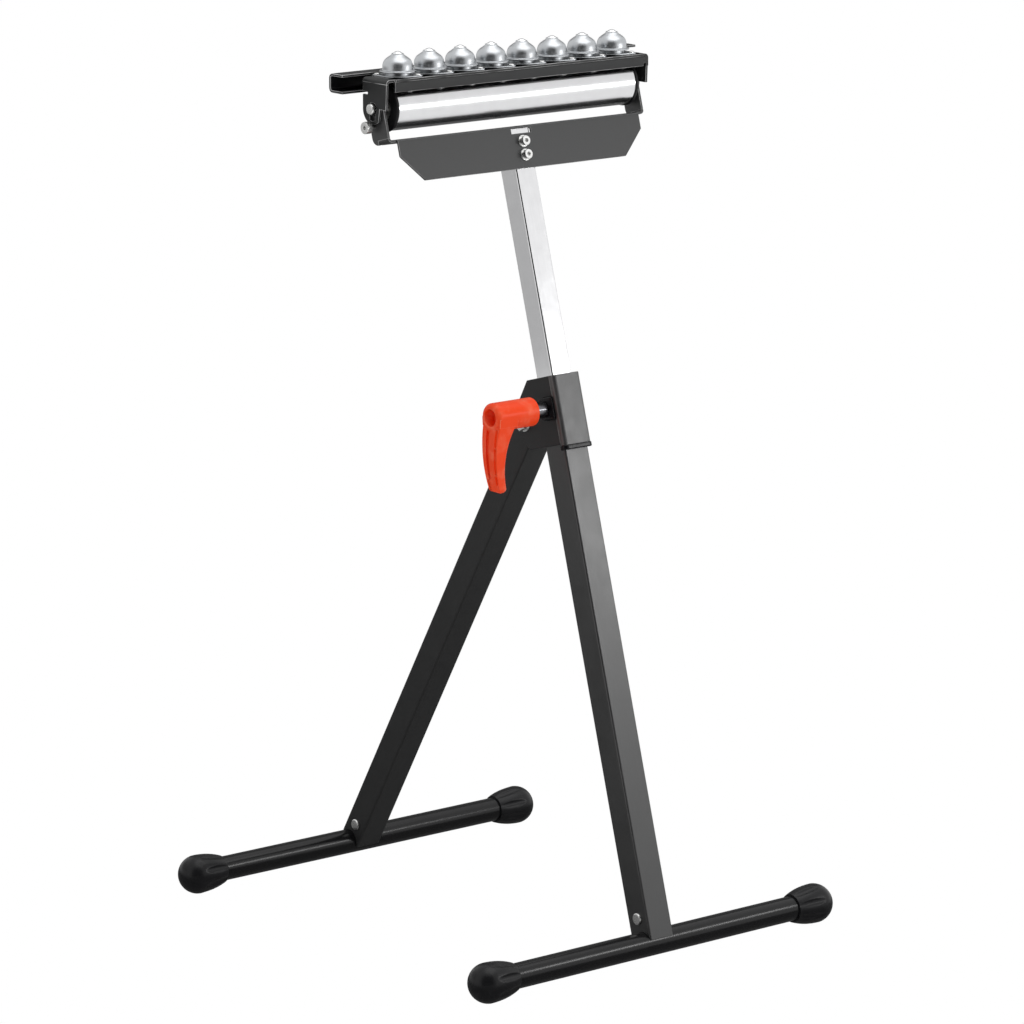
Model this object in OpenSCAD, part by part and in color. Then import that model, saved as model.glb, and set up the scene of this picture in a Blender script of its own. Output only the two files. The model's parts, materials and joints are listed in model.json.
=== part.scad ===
// Roller stand: two hinged legs on tubular feet carry a sliding mast. On the mast
// sit a work roller and a flip-over deck of ball units with a guide bar behind it.
// Millimetres. +X runs along the feet and the roller, +Y points to the rear leg,
// +Z is up. The origin is on the floor, midway between the four feet.
// "Up" and "back" name the post's own axes: up along it, back square to it.

/* [Stand] */
// Front foot axis to rear foot axis
foot_spread = 480; // [420:5:540]
// Lean of the post towards the rear, degrees
post_lean = 15.86; // [12:0.02:19]
// Post's centreline behind the front foot's axis
post_setback = 1.8; // [0:0.2:3]
// Top of the outer post, measured up the post from the floor
post_top = 588; // [520:2:680]
// Width of the square outer post
post_w = 30; // [29:0.5:32]
// Wall of the outer post and the rear leg
post_wall = 1.2; // [1:0.1:1.5]
// Corner radius of the outer post and the rear leg
post_corner = 2; // [1.6:0.1:3]

/* [Feet] */
// Radius of the foot tubes
foot_r = 12.7; // [11:0.1:14]
// Wall of the foot tubes
foot_wall = 1.5; // [1:0.1:2.5]
// Middle of the stand to the centre of each end ball
cap_out = 212.3; // [180:0.1:260]
// Radius of the end ball on each cap
cap_r = 20.2; // [18:0.1:24]
// How much of the ball is cut away to give a flat that rests on the floor
cap_flat = 0.4; // [0.2:0.1:0.8]
// Length of the tapering tail of a cap, from its ball centre inwards
cap_tail = 30; // [24:1:36]
// How much thinner the tail is at its end than the ball
cap_taper = 5.6; // [5:0.1:6]
// Depth of the leaf shaped flutes round the tail
flute_depth = 1.2; // [0.8:0.1:1.6]
// Radius of the tool that cuts the flutes
flute_r = 7; // [5:0.5:9]
// Foot axis to foot bolt, up the post
front_bolt_up = 26; // [24:0.5:30]
// Foot axis to foot bolt, up the leg
rear_bolt_up = 24; // [23:0.5:30]
// Radius of the foot bolts
foot_bolt_r = 3; // [2.5:0.1:3.5]
// Length of spigot above its bolt
spigot_end = 20; // [14:1:24]
// Wall of the spigots
spigot_wall = 2; // [1.5:0.1:3]

/* [Hinge bracket] */
// Thickness of the cheek plates
cheek_t = 2; // [1.5:0.1:3]
// Cheeks' front edge ahead of the post's centreline
cheek_front = 12.4; // [11:0.1:13]
// Bottom of the cheeks below the top of the post
cheek_drop = 66; // [60:1:72]
// Leg pivot below the top of the post
pivot_drop = 38.5; // [35:0.5:42]
// Leg pivot behind the post's centreline
pivot_back = 38; // [37:0.5:40]
// Cheek metal round the leg pivot
pivot_edge = 12; // [10:0.5:13]
// Size of the chamfer at the cheeks' upper rear corner
cheek_chamfer = 26.5; // [20:0.5:28]
// Radius of the leg's pivot bolt
pivot_r = 4; // [3:0.1:5]

/* [Collar and clamp] */
// Collar and cheeks above the top of the post
rim_h = 2.8; // [2:0.1:4]
// Length of the collar below the top of the post
collar_drop = 71; // [68:0.5:80]
// Thickness of the collar in front of the post
collar_t = 4.5; // [3.5:0.1:6]
// Collar's overlap at each side of the post
collar_side = 2.6; // [2.2:0.1:3.5]
// Corner radius at the front of the collar
collar_corner = 3.5; // [2:0.1:4]
// Clamp axis below the top of the post
clamp_drop = 29; // [25:0.5:33]
// Radius of the boss round the clamp stud
boss_r = 11.2; // [10.5:0.1:12]
// Boss in front of the post's side face
boss_h = 5.4; // [5:0.1:7]
// Across flats of the clamp nut
clamp_nut_af = 13; // [12:0.5:14]
// Radius of the clamp stud's thread
clamp_r = 4; // [3.5:0.1:4.5]
// Radius of the clamp stud's collar
stud_r = 8.2; // [7.4:0.1:8.8]
// Thickness of the pad that presses on the mast
pad_t = 1; // [0.8:0.1:1]

/* [Clamp handle] */
// Post's centreline to the inner end of the handle's hub
hub_in = 37; // [32:0.5:42]
// Post's centreline to the outer end of the handle's hub
hub_out = 89; // [84:0.5:96]
// Radius of the handle's hub
hub_r = 14.4; // [13.6:0.1:15]
// Radius of the rounded outer edge of the hub
hub_round = 4.5; // [2:0.1:4.5]
// Radius of the round recess in the hub's outer end
recess_r = 8.7; // [7:0.1:9]
// Depth of the round recess
recess_h = 6; // [4:0.5:10]
// Clamp axis to the tip of the lever
lever_len = 76; // [70:1:86]
// Depth of the lever at its tip, front to back
lever_d = 18; // [15:0.5:21]
// Width of the lever below its middle
lever_w = 12.2; // [11:0.1:14]
// Width of the lever near its tip
lever_tip = 9.6; // [8:0.1:10.4]
// How far the curved lever stands out past the hub's outer end
lever_bulge = 1.2; // [0.5:0.1:2]
// Radius of the lever's outer curve
lever_out_r = 132; // [110:1:160]
// Radius of the lever's inner curve
lever_in_r = 80; // [70:1:90]
// Width of the groove down the lever's outer face
groove_w = 5; // [3:0.5:6]
// Depth of the groove
groove_h = 2.5; // [1:0.1:4]
// Middle of the groove behind the middle of the lever
groove_back = 3.5; // [0:0.1:4]

/* [Mast] */
// Width of the square mast tube
mast_w = 25.4; // [25:0.1:25.6]
// Wall of the mast tube
mast_wall = 1.5; // [1.2:0.1:2]
// Corner radius of the mast tube
mast_corner = 2; // [1.6:0.1:3]
// Length of the mast tube
mast_len = 558; // [500:2:600]
// Top of the mast above the top of the post, at the middle height setting
mast_out = 250; // [220:1:280]
// Thickness of the glide under the mast
glide_t = 6; // [4:0.5:8]
// Length of the guide sleeve inside the top of the post
sleeve_len = 70; // [60:1:90]

/* [Head bracket] */
// Thickness of the bracket's sheet metal
sheet = 2.5; // [2:0.1:3]
// Front plate's upper corners inside the outer faces of the bracket's ears
plate_inset = 9.4; // [6:0.1:15]
// Chamfer at the front plate's lower corners
plate_chamfer = 25.6; // [18:0.1:30]
// Front plate below the top of the mast
plate_drop = 40.5; // [38:0.5:48]
// Half the width of the ears, about the mast's centreline
ear_half = 12.8; // [12:0.1:13.5]
// Roller axle above the top of the mast
axle_up = 35.8; // [35:0.1:38]
// Half the width of the notch that shows the top of the mast
notch_half = 12.5; // [11:0.1:13]
// Depth of that notch
notch_drop = 5.5; // [4:0.1:7]
// Upper plate screw below the top of the mast
plate_screw_drop = 13.6; // [12:0.1:15]
// Distance between the two plate screws
plate_screw_gap = 13.6; // [12.6:0.1:15]
// Radius of the plate screws
plate_screw_r = 2.5; // [2:0.1:3]
// Radius of the heads of the plate screws
plate_head_r = 4.7; // [4.4:0.1:5]
// Stop screws behind the mast's centreline
stop_back = 7; // [6:0.1:8]
// Stop screws below the axle, measured along the mast
stop_drop = 16.8; // [16.4:0.1:18]
// Radius of the stop screws' shanks
stop_r = 2.5; // [2:0.1:2.6]
// Radius of the stop screws' heads
stop_head_r = 6; // [5:0.1:6.5]

/* [Roller] */
// Radius of the roller
roller_r = 23; // [20:0.5:23]
// Length of the roller tube
roller_len = 302; // [280:1:340]
// Wall of the roller tube
roller_wall = 2; // [1.5:0.1:3]
// Radius of the rims at the roller's ends
rim_r = 24; // [23.6:0.1:24.4]
// Thickness of those rims
rim_t = 3; // [2:0.5:3.5]
// Length of the sleeves between the roller's ends and the bracket's ears
spacer_len = 6.2; // [4:0.1:9]
// Radius of the roller's bearings
bearing_r = 13; // [11:0.5:14]
// Width of the roller's bearings
bearing_w = 8; // [6:0.5:9]
// Radius of the axle
axle_r = 5; // [4:0.1:5.4]
// Radius of the axle's thinner ends, which carry the deck's bushes
journal_r = 3; // [2.5:0.1:3.1]
// Radius of the axle's end heads
axle_head_r = 5.5; // [5:0.1:6]
// Thickness of the axle's end heads
axle_head_t = 3.2; // [2:0.1:5]

/* [Flip deck] */
// Clear space between the deck's ears and the bracket's ears
deck_play = 0.7; // [0.5:0.1:1.2]
// Deck's top face above the axle
deck_up = 30.1; // [29.5:0.1:34]
// Deck's front flange ahead of the axle
deck_front = 24.4; // [24:0.1:28]
// Depth of the front flange below the deck's top face
flange_h = 12.3; // [8:0.1:13.5]
// Gap between the front flange and the outside of the left ear
flange_relief = 9.7; // [4:0.1:12]
// Deck's rear edge behind the axle
deck_back = 15.5; // [15.4:0.1:17]
// Left ear's front edge ahead of the axle
deck_ear_front = 22.4; // [22:0.1:23]
// Radius of the keyhole seat in the ears
seat_r = 6.5; // [6.2:0.1:7]
// Half the width of the keyhole's slot
slot_half = 4.25; // [4.1:0.05:4.4]
// How far the deck lifts off its seat
lift = 5.4; // [4:0.1:5.6]

/* [Guide bar] */
// Length of the guide bar
bar_len = 375; // [350:0.5:420]
// Height of the guide bar
bar_h = 19; // [17:0.5:22]
// Depth of the guide bar, front to back
bar_d = 21.5; // [18:0.1:24]
// Wall of the guide bar
bar_wall = 2.5; // [2:0.1:3]
// Clear gap between the deck's rear edge and the guide bar
bar_gap = 4.7; // [4.6:0.1:12]
// Radius of the guide bar's rear corners
bar_corner = 5; // [3.5:0.5:6]
// Middle of the stand to the middle of each tab that carries the guide bar
tab_out = 97.5; // [70:0.5:130]
// Width of those tabs
tab_w = 30; // [20:1:40]
// Length of the tabs' turned-down ends
tab_drop = 13; // [10:0.5:14]

/* [Ball units] */
// Distance from one ball unit to the next
ball_pitch = 39; // [38:0.5:40]
// Least distance from the bracket's ears to the centre of a ball unit
ball_margin = 26.5; // [24:0.5:40]
// Ball units ahead of the axle
ball_ahead = 2.2; // [2:0.1:4.5]
// Radius of the balls
ball_r = 6.35; // [6:0.05:6.6]
// Top of the balls above the deck's top face
ball_top = 24.4; // [23.8:0.1:25]
// Radius of the body of a ball unit
unit_r = 15; // [14:0.1:16]
// Radius of the brim round a ball unit
brim_r = 17.7; // [16.5:0.1:18]
// Half the width of a ball unit's flange
lozenge_r = 17.2; // [16:0.1:17.8]
// Radius of the flange's ends
lozenge_end_r = 5; // [4.5:0.1:6]
// Middle of a ball unit to each of its rivets
rivet_out = 19.7; // [19.4:0.1:20]
// Turn of the flanges on the deck, degrees
lozenge_turn = -48; // [-52:1:-44]
// Thickness of a ball unit's flange
lozenge_t = 1.5; // [1:0.1:2]
// Radius of the rivets' shanks
rivet_r = 2; // [1.5:0.1:2.2]
// Radius of the rivets' heads
rivet_head_r = 3.4; // [3:0.1:3.8]

/* [Clearances] */
// Radial clearance of a running fit
running = 0.05; // [0.03:0.01:0.08]
// Radial clearance of a fastener in its hole
hole_play = 0.1; // [0.05:0.05:0.2]
// Gap between parts that move past each other or rest on a stop
clear = 0.3; // [0.2:0.05:0.4]
// Gap on each side of a sliding square tube
slide_play = 0.15; // [0.1:0.05:0.2]

/* [Hidden] */
$fn = 64;

// Floor, foot axes and the post's own frame
foot_z = cap_r - cap_flat;
post_floor_y = -foot_spread / 2 - foot_z * tan(post_lean) + post_setback / cos(post_lean);
foot_up = foot_z / cos(post_lean) - post_setback * tan(post_lean);
post_half = post_w / 2;
post_in_w = post_w - 2 * post_wall;
bracket_top = post_top + rim_h;
function post_y(back, up) = post_floor_y + back * cos(post_lean) + up * sin(post_lean);
function post_z(back, up) = up * cos(post_lean) - back * sin(post_lean);

// Rear leg: it runs from the pivot to the rear foot's axis, and its upper corner
// meets the back of the post when the stand is open
pivot_up = post_top - pivot_drop;
pivot_y = post_y(pivot_back, pivot_up);
pivot_z = post_z(pivot_back, pivot_up);
leg_dy = foot_spread / 2 - pivot_y;
leg_dz = pivot_z - foot_z;
leg_len = sqrt(leg_dy * leg_dy + leg_dz * leg_dz);
leg_lean = atan2(leg_dy, leg_dz);
leg_open = leg_lean + post_lean;
leg_w = post_w - 2 * clear;
leg_head = (pivot_back - post_half - clear - leg_w / 2 * cos(leg_open)) / sin(leg_open);
cheek_out = post_half + cheek_t;
pivot_washer_t = 1.6;
pivot_nut_t = 5.6;

// Caps
tube_stop = 12;
tube_half = cap_out - tube_stop;
egg_r = (cap_tail * cap_tail + cap_taper * cap_taper) / (2 * cap_taper);

// Clamp
clamp_up = post_top - clamp_drop;
clamp_y = post_y(0, clamp_up);
clamp_z = post_z(0, clamp_up);
boss_out = post_half + boss_h;
nut_out = boss_out - 0.8;
pad_in = mast_w / 2 + running;
lever_out = hub_out + lever_bulge;
lever_tip_r = lever_tip / 2;
lever_out_up = 0.434 * lever_len;
lever_in_up = 0.658 * lever_len;
groove_len = 0.66 * lever_len;

// Mast and head
mast_top = post_top + mast_out;
mast_in_w = mast_w - 2 * mast_wall;
mast_half = mast_w / 2;
ear_in = roller_len / 2 + rim_t + clear + spacer_len;
ear_out = ear_in + sheet;
plate_half = ear_out - plate_inset;
axle_up_post = mast_top + axle_up;
axle_y = post_y(0, axle_up_post);
axle_z = post_z(0, axle_up_post);
nut_bar_t = 5;
washer_t = 1.2;
head_h = 5;

// Stop screws seen in the level frame of the deck
stop_y = stop_back * cos(post_lean) - stop_drop * sin(post_lean);
stop_z = -stop_back * sin(post_lean) - stop_drop * cos(post_lean);
stop_reach = sqrt(stop_y * stop_y + stop_z * stop_z);

// Deck: its ears turn past the stop screws and come to rest on them
deck_under = deck_up - sheet;
deck_ear_in = ear_out + deck_play;
deck_ear_out = deck_ear_in + sheet;
ear_sweep = stop_reach - stop_r - clear;
ear_step = stop_r + clear - stop_y;
ear_back = -stop_z - stop_r - clear;
bush_r = seat_r - running;
bush_half = slot_half - running;
stop_head_in = deck_ear_out + 2.5;
flange_low = deck_up - flange_h;
nick_top = (ear_half + deck_front * sin(post_lean)) / cos(post_lean) + clear;

// Guide bar
bar_front = deck_back + bar_gap;
bar_rear = bar_front + bar_d;
bar_top = deck_up + clear + bar_wall;
web_in = bar_rear - bar_wall;

// Ball units, in heights above the deck's top face
ball_count = floor(2 * (ear_out - ball_margin) / ball_pitch + 1.01);
ball_z = deck_up + ball_top - ball_r;
cage_r = ball_r + clear;
unit_foot = 4.4;
brim_top = unit_foot + 1.3;

// ---------------------------------------------------------------- frames

// Z up along the post, Y square to it towards the rear
module post_frame() {
    translate([0, post_floor_y, 0]) rotate([-post_lean, 0, 0]) children();
}

// Z up along the rear leg from the pivot, Y square to it towards the rear
module leg_frame() {
    translate([0, pivot_y, pivot_z]) rotate([leg_lean, 0, 0]) children();
}

// Level, at the clamp axis
module clamp_frame() {
    translate([0, clamp_y, clamp_z]) children();
}

// As the post's frame, at the top of the mast
module head_frame() {
    post_frame() translate([0, 0, mast_top]) children();
}

// Level, at the roller axle
module axle_frame() {
    translate([0, axle_y, axle_z]) children();
}

// ---------------------------------------------------------------- shapes

// Round bar along X
module rod(r, x0, x1) {
    translate([x0, 0, 0]) rotate([0, 90, 0]) cylinder(r = r, h = x1 - x0);
}

// Hexagonal bar along X, by its width across flats
module hex_rod(af, x0, x1) {
    translate([x0, 0, 0]) rotate([0, 90, 0]) cylinder(d = af / cos(30), h = x1 - x0, $fn = 6);
}

// Outline drawn in the Y-Z plane, given thickness from x0 to x1
module side_plate(x0, x1) {
    translate([x0, 0, 0]) rotate([90, 0, 90]) linear_extrude(x1 - x0) children();
}

// Outline drawn in the X-Z plane, given thickness from y0 to y1
module front_plate(y0, y1) {
    translate([0, y1, 0]) rotate([90, 0, 0]) linear_extrude(y1 - y0) children();
}

// Rounded rectangle about the origin
module rounded(w, d, r) {
    square([w - 2 * r, d], center = true);
    square([w, d - 2 * r], center = true);
    for (x = [-1, 1], y = [-1, 1]) translate([x * (w / 2 - r), y * (d / 2 - r)]) circle(r);
}

// Square tube along Z
module square_tube(w, wall, corner, z0, z1) {
    translate([0, 0, z0]) linear_extrude(z1 - z0) difference() {
        rounded(w, w, corner);
        rounded(w - 2 * wall, w - 2 * wall, corner - wall);
    }
}

// Both ends of the stand: the children and their mirror image
module both_ends() {
    children();
    mirror([1, 0, 0]) children();
}

// ---------------------------------------------------------------- feet

module foot_tube(y) {
    translate([0, y, foot_z]) difference() {
        rod(foot_r, -tube_half, tube_half);
        rod(foot_r - foot_wall, -tube_half - 1, tube_half + 1);
    }
}

// Half section of a cap: a ball that runs into a tapering tail, bored for the tube
module cap_section() {
    difference() {
        union() {
            intersection() {
                circle(cap_r);
                square(cap_r);
            }
            intersection() {
                translate([cap_r - egg_r, 0]) circle(egg_r, $fn = 180);
                translate([0, -cap_tail]) square([cap_r, cap_tail]);
            }
        }
        translate([-1, -cap_tail - 1])
            square([foot_r + running + 1, tube_half - cap_out + cap_tail + 1 + hole_play]);
    }
}

module cap_flutes() {
    tilt = atan2(cap_taper, cap_tail);
    skin = cap_r - egg_r + sqrt(egg_r * egg_r - cap_tail * cap_tail / 4);
    for (turn = [0 : 45 : 315])
        rotate([turn + 22.5, 0, 0])
            translate([-cap_tail / 2, 0, skin - flute_depth + flute_r])
                rotate([0, -tilt, 0])
                    rod(flute_r, -cap_tail, cap_tail);
}

// Cap for the end at +X; side = -1 mirrors it to the other end
module foot_cap(side, y) {
    mirror([side < 0 ? 1 : 0, 0, 0]) translate([cap_out, y, foot_z]) difference() {
        rotate([0, 90, 0]) rotate_extrude() cap_section();
        cap_flutes();
        translate([-cap_tail - 1, -cap_r, -foot_z - cap_r]) cube([2 * cap_tail + 2, 2 * cap_r, cap_r]);
    }
}

// Square spigot that stands on the foot tube inside a leg, in a frame whose
// origin is on the foot's axis; shift is the leg's centreline behind that axis
module spigot(shift, bolt_up) {
    difference() {
        translate([0, shift, 0])
            square_tube(post_in_w - 2 * clear, spigot_wall, post_corner, foot_r / 2, bolt_up + spigot_end);
        rod(foot_r, -post_w, post_w);
        translate([0, shift, bolt_up]) rod(foot_bolt_r + hole_play, -post_w, post_w);
    }
}

// Bolt and nut across a leg's foot, about the bolt's own axis
module foot_bolt(w) {
    union() {
        rod(2 * foot_bolt_r, -w / 2 - 1.8, -w / 2);
        rod(foot_bolt_r, -w / 2 - 1, w / 2 + 6);
    }
    difference() {
        hex_rod(3.3 * foot_bolt_r, w / 2, w / 2 + 5);
        rod(foot_bolt_r + running, w / 2 - 1, w / 2 + 6);
    }
}

// ---------------------------------------------------------------- post

module main_post() {
    color("#55585a") post_frame() difference() {
        square_tube(post_w, post_wall, post_corner, foot_up + 4, post_top);
        translate([0, -post_setback, foot_up]) rod(foot_r + clear, -post_w, post_w);
        translate([0, 0, foot_up + front_bolt_up]) rod(foot_bolt_r + hole_play, -post_w, post_w);
        translate([0, 0, clamp_up]) rod(clamp_r + clear, -post_w, 0);
    }
}

// Plastic sleeve that guides the mast in the top of the post
module post_sleeve() {
    color("#202022") post_frame() difference() {
        translate([0, 0, post_top - sleeve_len]) linear_extrude(sleeve_len) difference() {
            rounded(post_in_w, post_in_w, post_corner - post_wall);
            rounded(mast_w + 2 * slide_play, mast_w + 2 * slide_play, mast_corner);
        }
        translate([0, 0, clamp_up]) rod(clamp_r + clear, -post_w, 0);
    }
}

module boss_outline(extra) {
    translate([-cheek_front - 1, clamp_up - boss_r - extra])
        square([cheek_front + 1, 2 * (boss_r + extra)]);
    translate([0, clamp_up]) circle(boss_r + extra);
}

module collar_section() {
    half = post_half + collar_side;
    front = post_half + collar_t;
    difference() {
        union() {
            translate([-half, -front + collar_corner])
                square([2 * half, front - collar_corner - cheek_front]);
            translate([-half + collar_corner, -front])
                square([2 * (half - collar_corner), 2 * collar_corner]);
            for (side = [-1, 1])
                translate([side * (half - collar_corner), -front + collar_corner])
                    circle(collar_corner);
        }
        square(post_w, center = true);
    }
}

// Moulded collar: a shield in front of the post, a rim over its top, and a boss
// over the clamp nut
module post_collar() {
    color("#1d1d1f") post_frame() difference() {
        union() {
            translate([0, 0, post_top - collar_drop])
                linear_extrude(collar_drop + rim_h) collar_section();
            translate([-post_half, -post_half - 1, post_top])
                cube([post_w, post_w + 1, rim_h]);
            side_plate(-boss_out, -post_half) boss_outline(0);
        }
        translate([0, 0, post_top - 1]) linear_extrude(rim_h + 2)
            rounded(mast_w + 2 * slide_play, mast_w + 2 * slide_play, mast_corner);
        translate([0, 0, clamp_up]) hex_rod(clamp_nut_af + 2 * hole_play, -nut_out, -post_half + 1);
        translate([0, 0, clamp_up]) rod(clamp_r + clear, -boss_out - 1, -nut_out + 1);
    }
}

module cheek_outline() {
    bottom = post_top - cheek_drop;
    rear = pivot_back + pivot_edge;
    heel = pivot_back - 2;
    heel_r = 4;
    difference() {
        union() {
            polygon([
                [-cheek_front, bottom], [-cheek_front, bracket_top],
                [rear - cheek_chamfer, bracket_top], [rear, bracket_top - cheek_chamfer],
                [rear, pivot_up], [heel + heel_r, bottom + heel_r], [heel, bottom]
            ]);
            translate([pivot_back, pivot_up]) circle(pivot_edge);
            translate([heel, bottom + heel_r]) circle(heel_r);
        }
        translate([pivot_back, pivot_up]) circle(pivot_r + hole_play);
    }
}

module left_cheek() {
    color("#4a4c4e") post_frame() side_plate(-post_half - cheek_t, -post_half) difference() {
        cheek_outline();
        boss_outline(clear);
    }
}

module right_cheek() {
    color("#4a4c4e") post_frame() side_plate(post_half, post_half + cheek_t) cheek_outline();
}

module front_foot_tube() {
    color("#3a3b3d") foot_tube(-foot_spread / 2);
}

module front_spigot() {
    color("#3a3b3d") post_frame() translate([0, -post_setback, foot_up])
        spigot(post_setback, front_bolt_up);
}

module front_cap_left() {
    color("#232325") foot_cap(-1, -foot_spread / 2);
}

module front_cap_right() {
    color("#232325") foot_cap(1, -foot_spread / 2);
}

module front_foot_bolt() {
    color("silver") post_frame() translate([0, 0, foot_up + front_bolt_up]) foot_bolt(post_w);
}

module clamp_nut() {
    color("silver") clamp_frame() rotate([-post_lean, 0, 0]) difference() {
        hex_rod(clamp_nut_af, -nut_out + hole_play, -post_half);
        rod(clamp_r + running, -nut_out - 1, -post_half + 1);
    }
}

// ---------------------------------------------------------------- leg pivot

module pivot_frame() {
    translate([0, pivot_y, pivot_z]) children();
}

module pivot_bolt() {
    color("silver") pivot_frame() {
        rod(pivot_r, -cheek_out - pivot_washer_t - pivot_nut_t - 1.2, cheek_out + pivot_washer_t + 1);
        hex_rod(3.25 * pivot_r, cheek_out + pivot_washer_t, cheek_out + pivot_washer_t + pivot_nut_t);
    }
}

module pivot_nut() {
    start = -cheek_out - pivot_washer_t - pivot_nut_t;
    color("silver") pivot_frame() difference() {
        hex_rod(3.25 * pivot_r, start, start + pivot_nut_t);
        rod(pivot_r + running, start - 1, -cheek_out);
    }
}

module pivot_washers() {
    color("silver") pivot_frame() both_ends() difference() {
        rod(2.1 * pivot_r, cheek_out, cheek_out + pivot_washer_t);
        rod(pivot_r + hole_play, cheek_out - 1, cheek_out + pivot_washer_t + 1);
    }
}

// ---------------------------------------------------------------- rear leg

module rear_leg() {
    color("#4a4c4e") leg_frame() difference() {
        square_tube(leg_w, post_wall, post_corner, -leg_len + 4, leg_head);
        translate([0, 0, -leg_len]) rod(foot_r + clear, -post_w, post_w);
        translate([0, 0, -leg_len + rear_bolt_up]) rod(foot_bolt_r + hole_play, -post_w, post_w);
        rod(pivot_r + running, -post_w, post_w);
    }
}

// Steel tube across the leg, welded between its walls, which turns on the pivot bolt
module leg_bush() {
    color("#6a6c6e") leg_frame() difference() {
        rod(pivot_r + 2.5, -leg_w / 2 + post_wall, leg_w / 2 - post_wall);
        rod(pivot_r + running, -post_w, post_w);
    }
}

module rear_foot_tube() {
    color("#3a3b3d") foot_tube(foot_spread / 2);
}

module rear_spigot() {
    color("#3a3b3d") leg_frame() translate([0, 0, -leg_len]) spigot(0, rear_bolt_up);
}

module rear_cap_left() {
    color("#232325") foot_cap(-1, foot_spread / 2);
}

module rear_cap_right() {
    color("#232325") foot_cap(1, foot_spread / 2);
}

module rear_foot_bolt() {
    color("silver") leg_frame() translate([0, 0, -leg_len + rear_bolt_up]) foot_bolt(leg_w);
}

// ---------------------------------------------------------------- clamp

// Disc whose edge is one of the lever's two long curves, in its front view
module lever_curve(out, up, r) {
    translate([-out + r, -up]) circle(r, $fn = 240);
}

// Front view of the lever: two arcs that run down to a round tip
module lever_outline() {
    tip_up = lever_len - lever_tip_r;
    tip_drop = tip_up - lever_out_up;
    inside = lever_out_r - lever_tip_r;
    difference() {
        intersection() {
            lever_curve(lever_out, lever_out_up, lever_out_r);
            translate([-lever_out, -tip_up]) square([lever_out - hub_in, tip_up]);
        }
        lever_curve(lever_out - lever_w, lever_in_up, lever_in_r);
    }
    translate([-lever_out + lever_out_r - sqrt(inside * inside - tip_drop * tip_drop), -tip_up])
        circle(lever_tip_r);
}

// Side view of the lever, which tapers from the hub's depth to the tip
module lever_taper() {
    polygon([
        [-hub_r, 0], [hub_r, 0],
        [lever_d / 2, -lever_len - 1], [-lever_d / 2, -lever_len - 1]
    ]);
}

// Groove that follows the lever's outer curve
module lever_groove() {
    front_plate(groove_back - groove_w / 2, groove_back + groove_w / 2) difference() {
        translate([-lever_out - 1, -recess_r - 4 - groove_len]) square([lever_w, groove_len]);
        lever_curve(lever_out - groove_h, lever_out_up, lever_out_r - groove_h);
    }
}

module hub_section() {
    square([hub_r, hub_out - hub_in - hub_round]);
    square([hub_r - hub_round, hub_out - hub_in]);
    translate([hub_r - hub_round, hub_out - hub_in - hub_round]) circle(hub_round);
}

module clamp_handle() {
    color("#f0552d") clamp_frame() difference() {
        union() {
            translate([-hub_in, 0, 0]) rotate([0, -90, 0]) rotate_extrude() hub_section();
            intersection() {
                front_plate(-hub_r, hub_r) lever_outline();
                side_plate(-lever_out - 1, -hub_in) lever_taper();
            }
        }
        rod(recess_r, -lever_out - 1, -hub_out + recess_h);
        rod(clamp_r + running, -hub_in - 30, -hub_in + 1);
        lever_groove();
    }
}

module clamp_stud() {
    color("#303032") clamp_frame() {
        rod(stud_r, -hub_in, -boss_out - clear);
        rod(clamp_r, -hub_in - 25, -pad_in - pad_t);
    }
}

module pressure_pad() {
    color("#c9a24a") clamp_frame() rod(clamp_r, -pad_in - pad_t, -pad_in);
}

// ---------------------------------------------------------------- mast and head

module mast() {
    color("#d8dadb") head_frame() difference() {
        square_tube(mast_w, mast_wall, mast_corner, -mast_len, 0);
        plate_screw_holes(plate_screw_r + hole_play);
    }
}

// Plastic glide that closes the mast's foot and runs inside the post
module mast_glide() {
    w = post_in_w - 2 * slide_play;
    plug = mast_in_w - 2 * running;
    color("#202022") head_frame() {
        translate([0, 0, -mast_len - glide_t]) linear_extrude(glide_t) rounded(w, w, 1);
        translate([0, 0, -mast_len - 1]) linear_extrude(15) rounded(plug, plug, 1);
    }
}

module plate_screw_holes(r) {
    for (drop = [plate_screw_drop, plate_screw_drop + plate_screw_gap])
        translate([0, 0, -drop]) rotate([90, 0, 0]) cylinder(r = r, h = mast_w);
}

module head_plate_outline() {
    difference() {
        polygon([
            [-plate_half + plate_chamfer, -plate_drop], [-plate_half, -plate_drop + plate_chamfer],
            [-plate_half, sheet], [plate_half, sheet],
            [plate_half, -plate_drop + plate_chamfer], [plate_half - plate_chamfer, -plate_drop]
        ]);
        translate([-notch_half, -notch_drop]) square([2 * notch_half, notch_drop]);
    }
}

// Side view of one ear: round over the axle, with a rounded heel
module head_ear_outline() {
    heel = 9;
    difference() {
        union() {
            translate([0, axle_up]) circle(ear_half);
            translate([-ear_half, 0]) square([2 * ear_half - heel, axle_up]);
            translate([-ear_half, heel]) square([2 * ear_half, axle_up - heel]);
            translate([ear_half - heel, heel]) circle(heel);
        }
        translate([0, axle_up]) circle(axle_r + running);
        translate([stop_back, axle_up - stop_drop]) circle(stop_r + running);
    }
}

// Folded sheet: a plate on the mast's front, a web over its top and two ears
module head_bracket() {
    color("#4e5052") head_frame() {
        difference() {
            front_plate(-mast_half - sheet, -mast_half) head_plate_outline();
            plate_screw_holes(plate_screw_r + hole_play);
        }
        translate([-ear_in, -mast_half, 0]) cube([2 * ear_in, mast_half + ear_half - 9, sheet]);
        both_ends() side_plate(ear_in, ear_out) head_ear_outline();
    }
}

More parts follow.
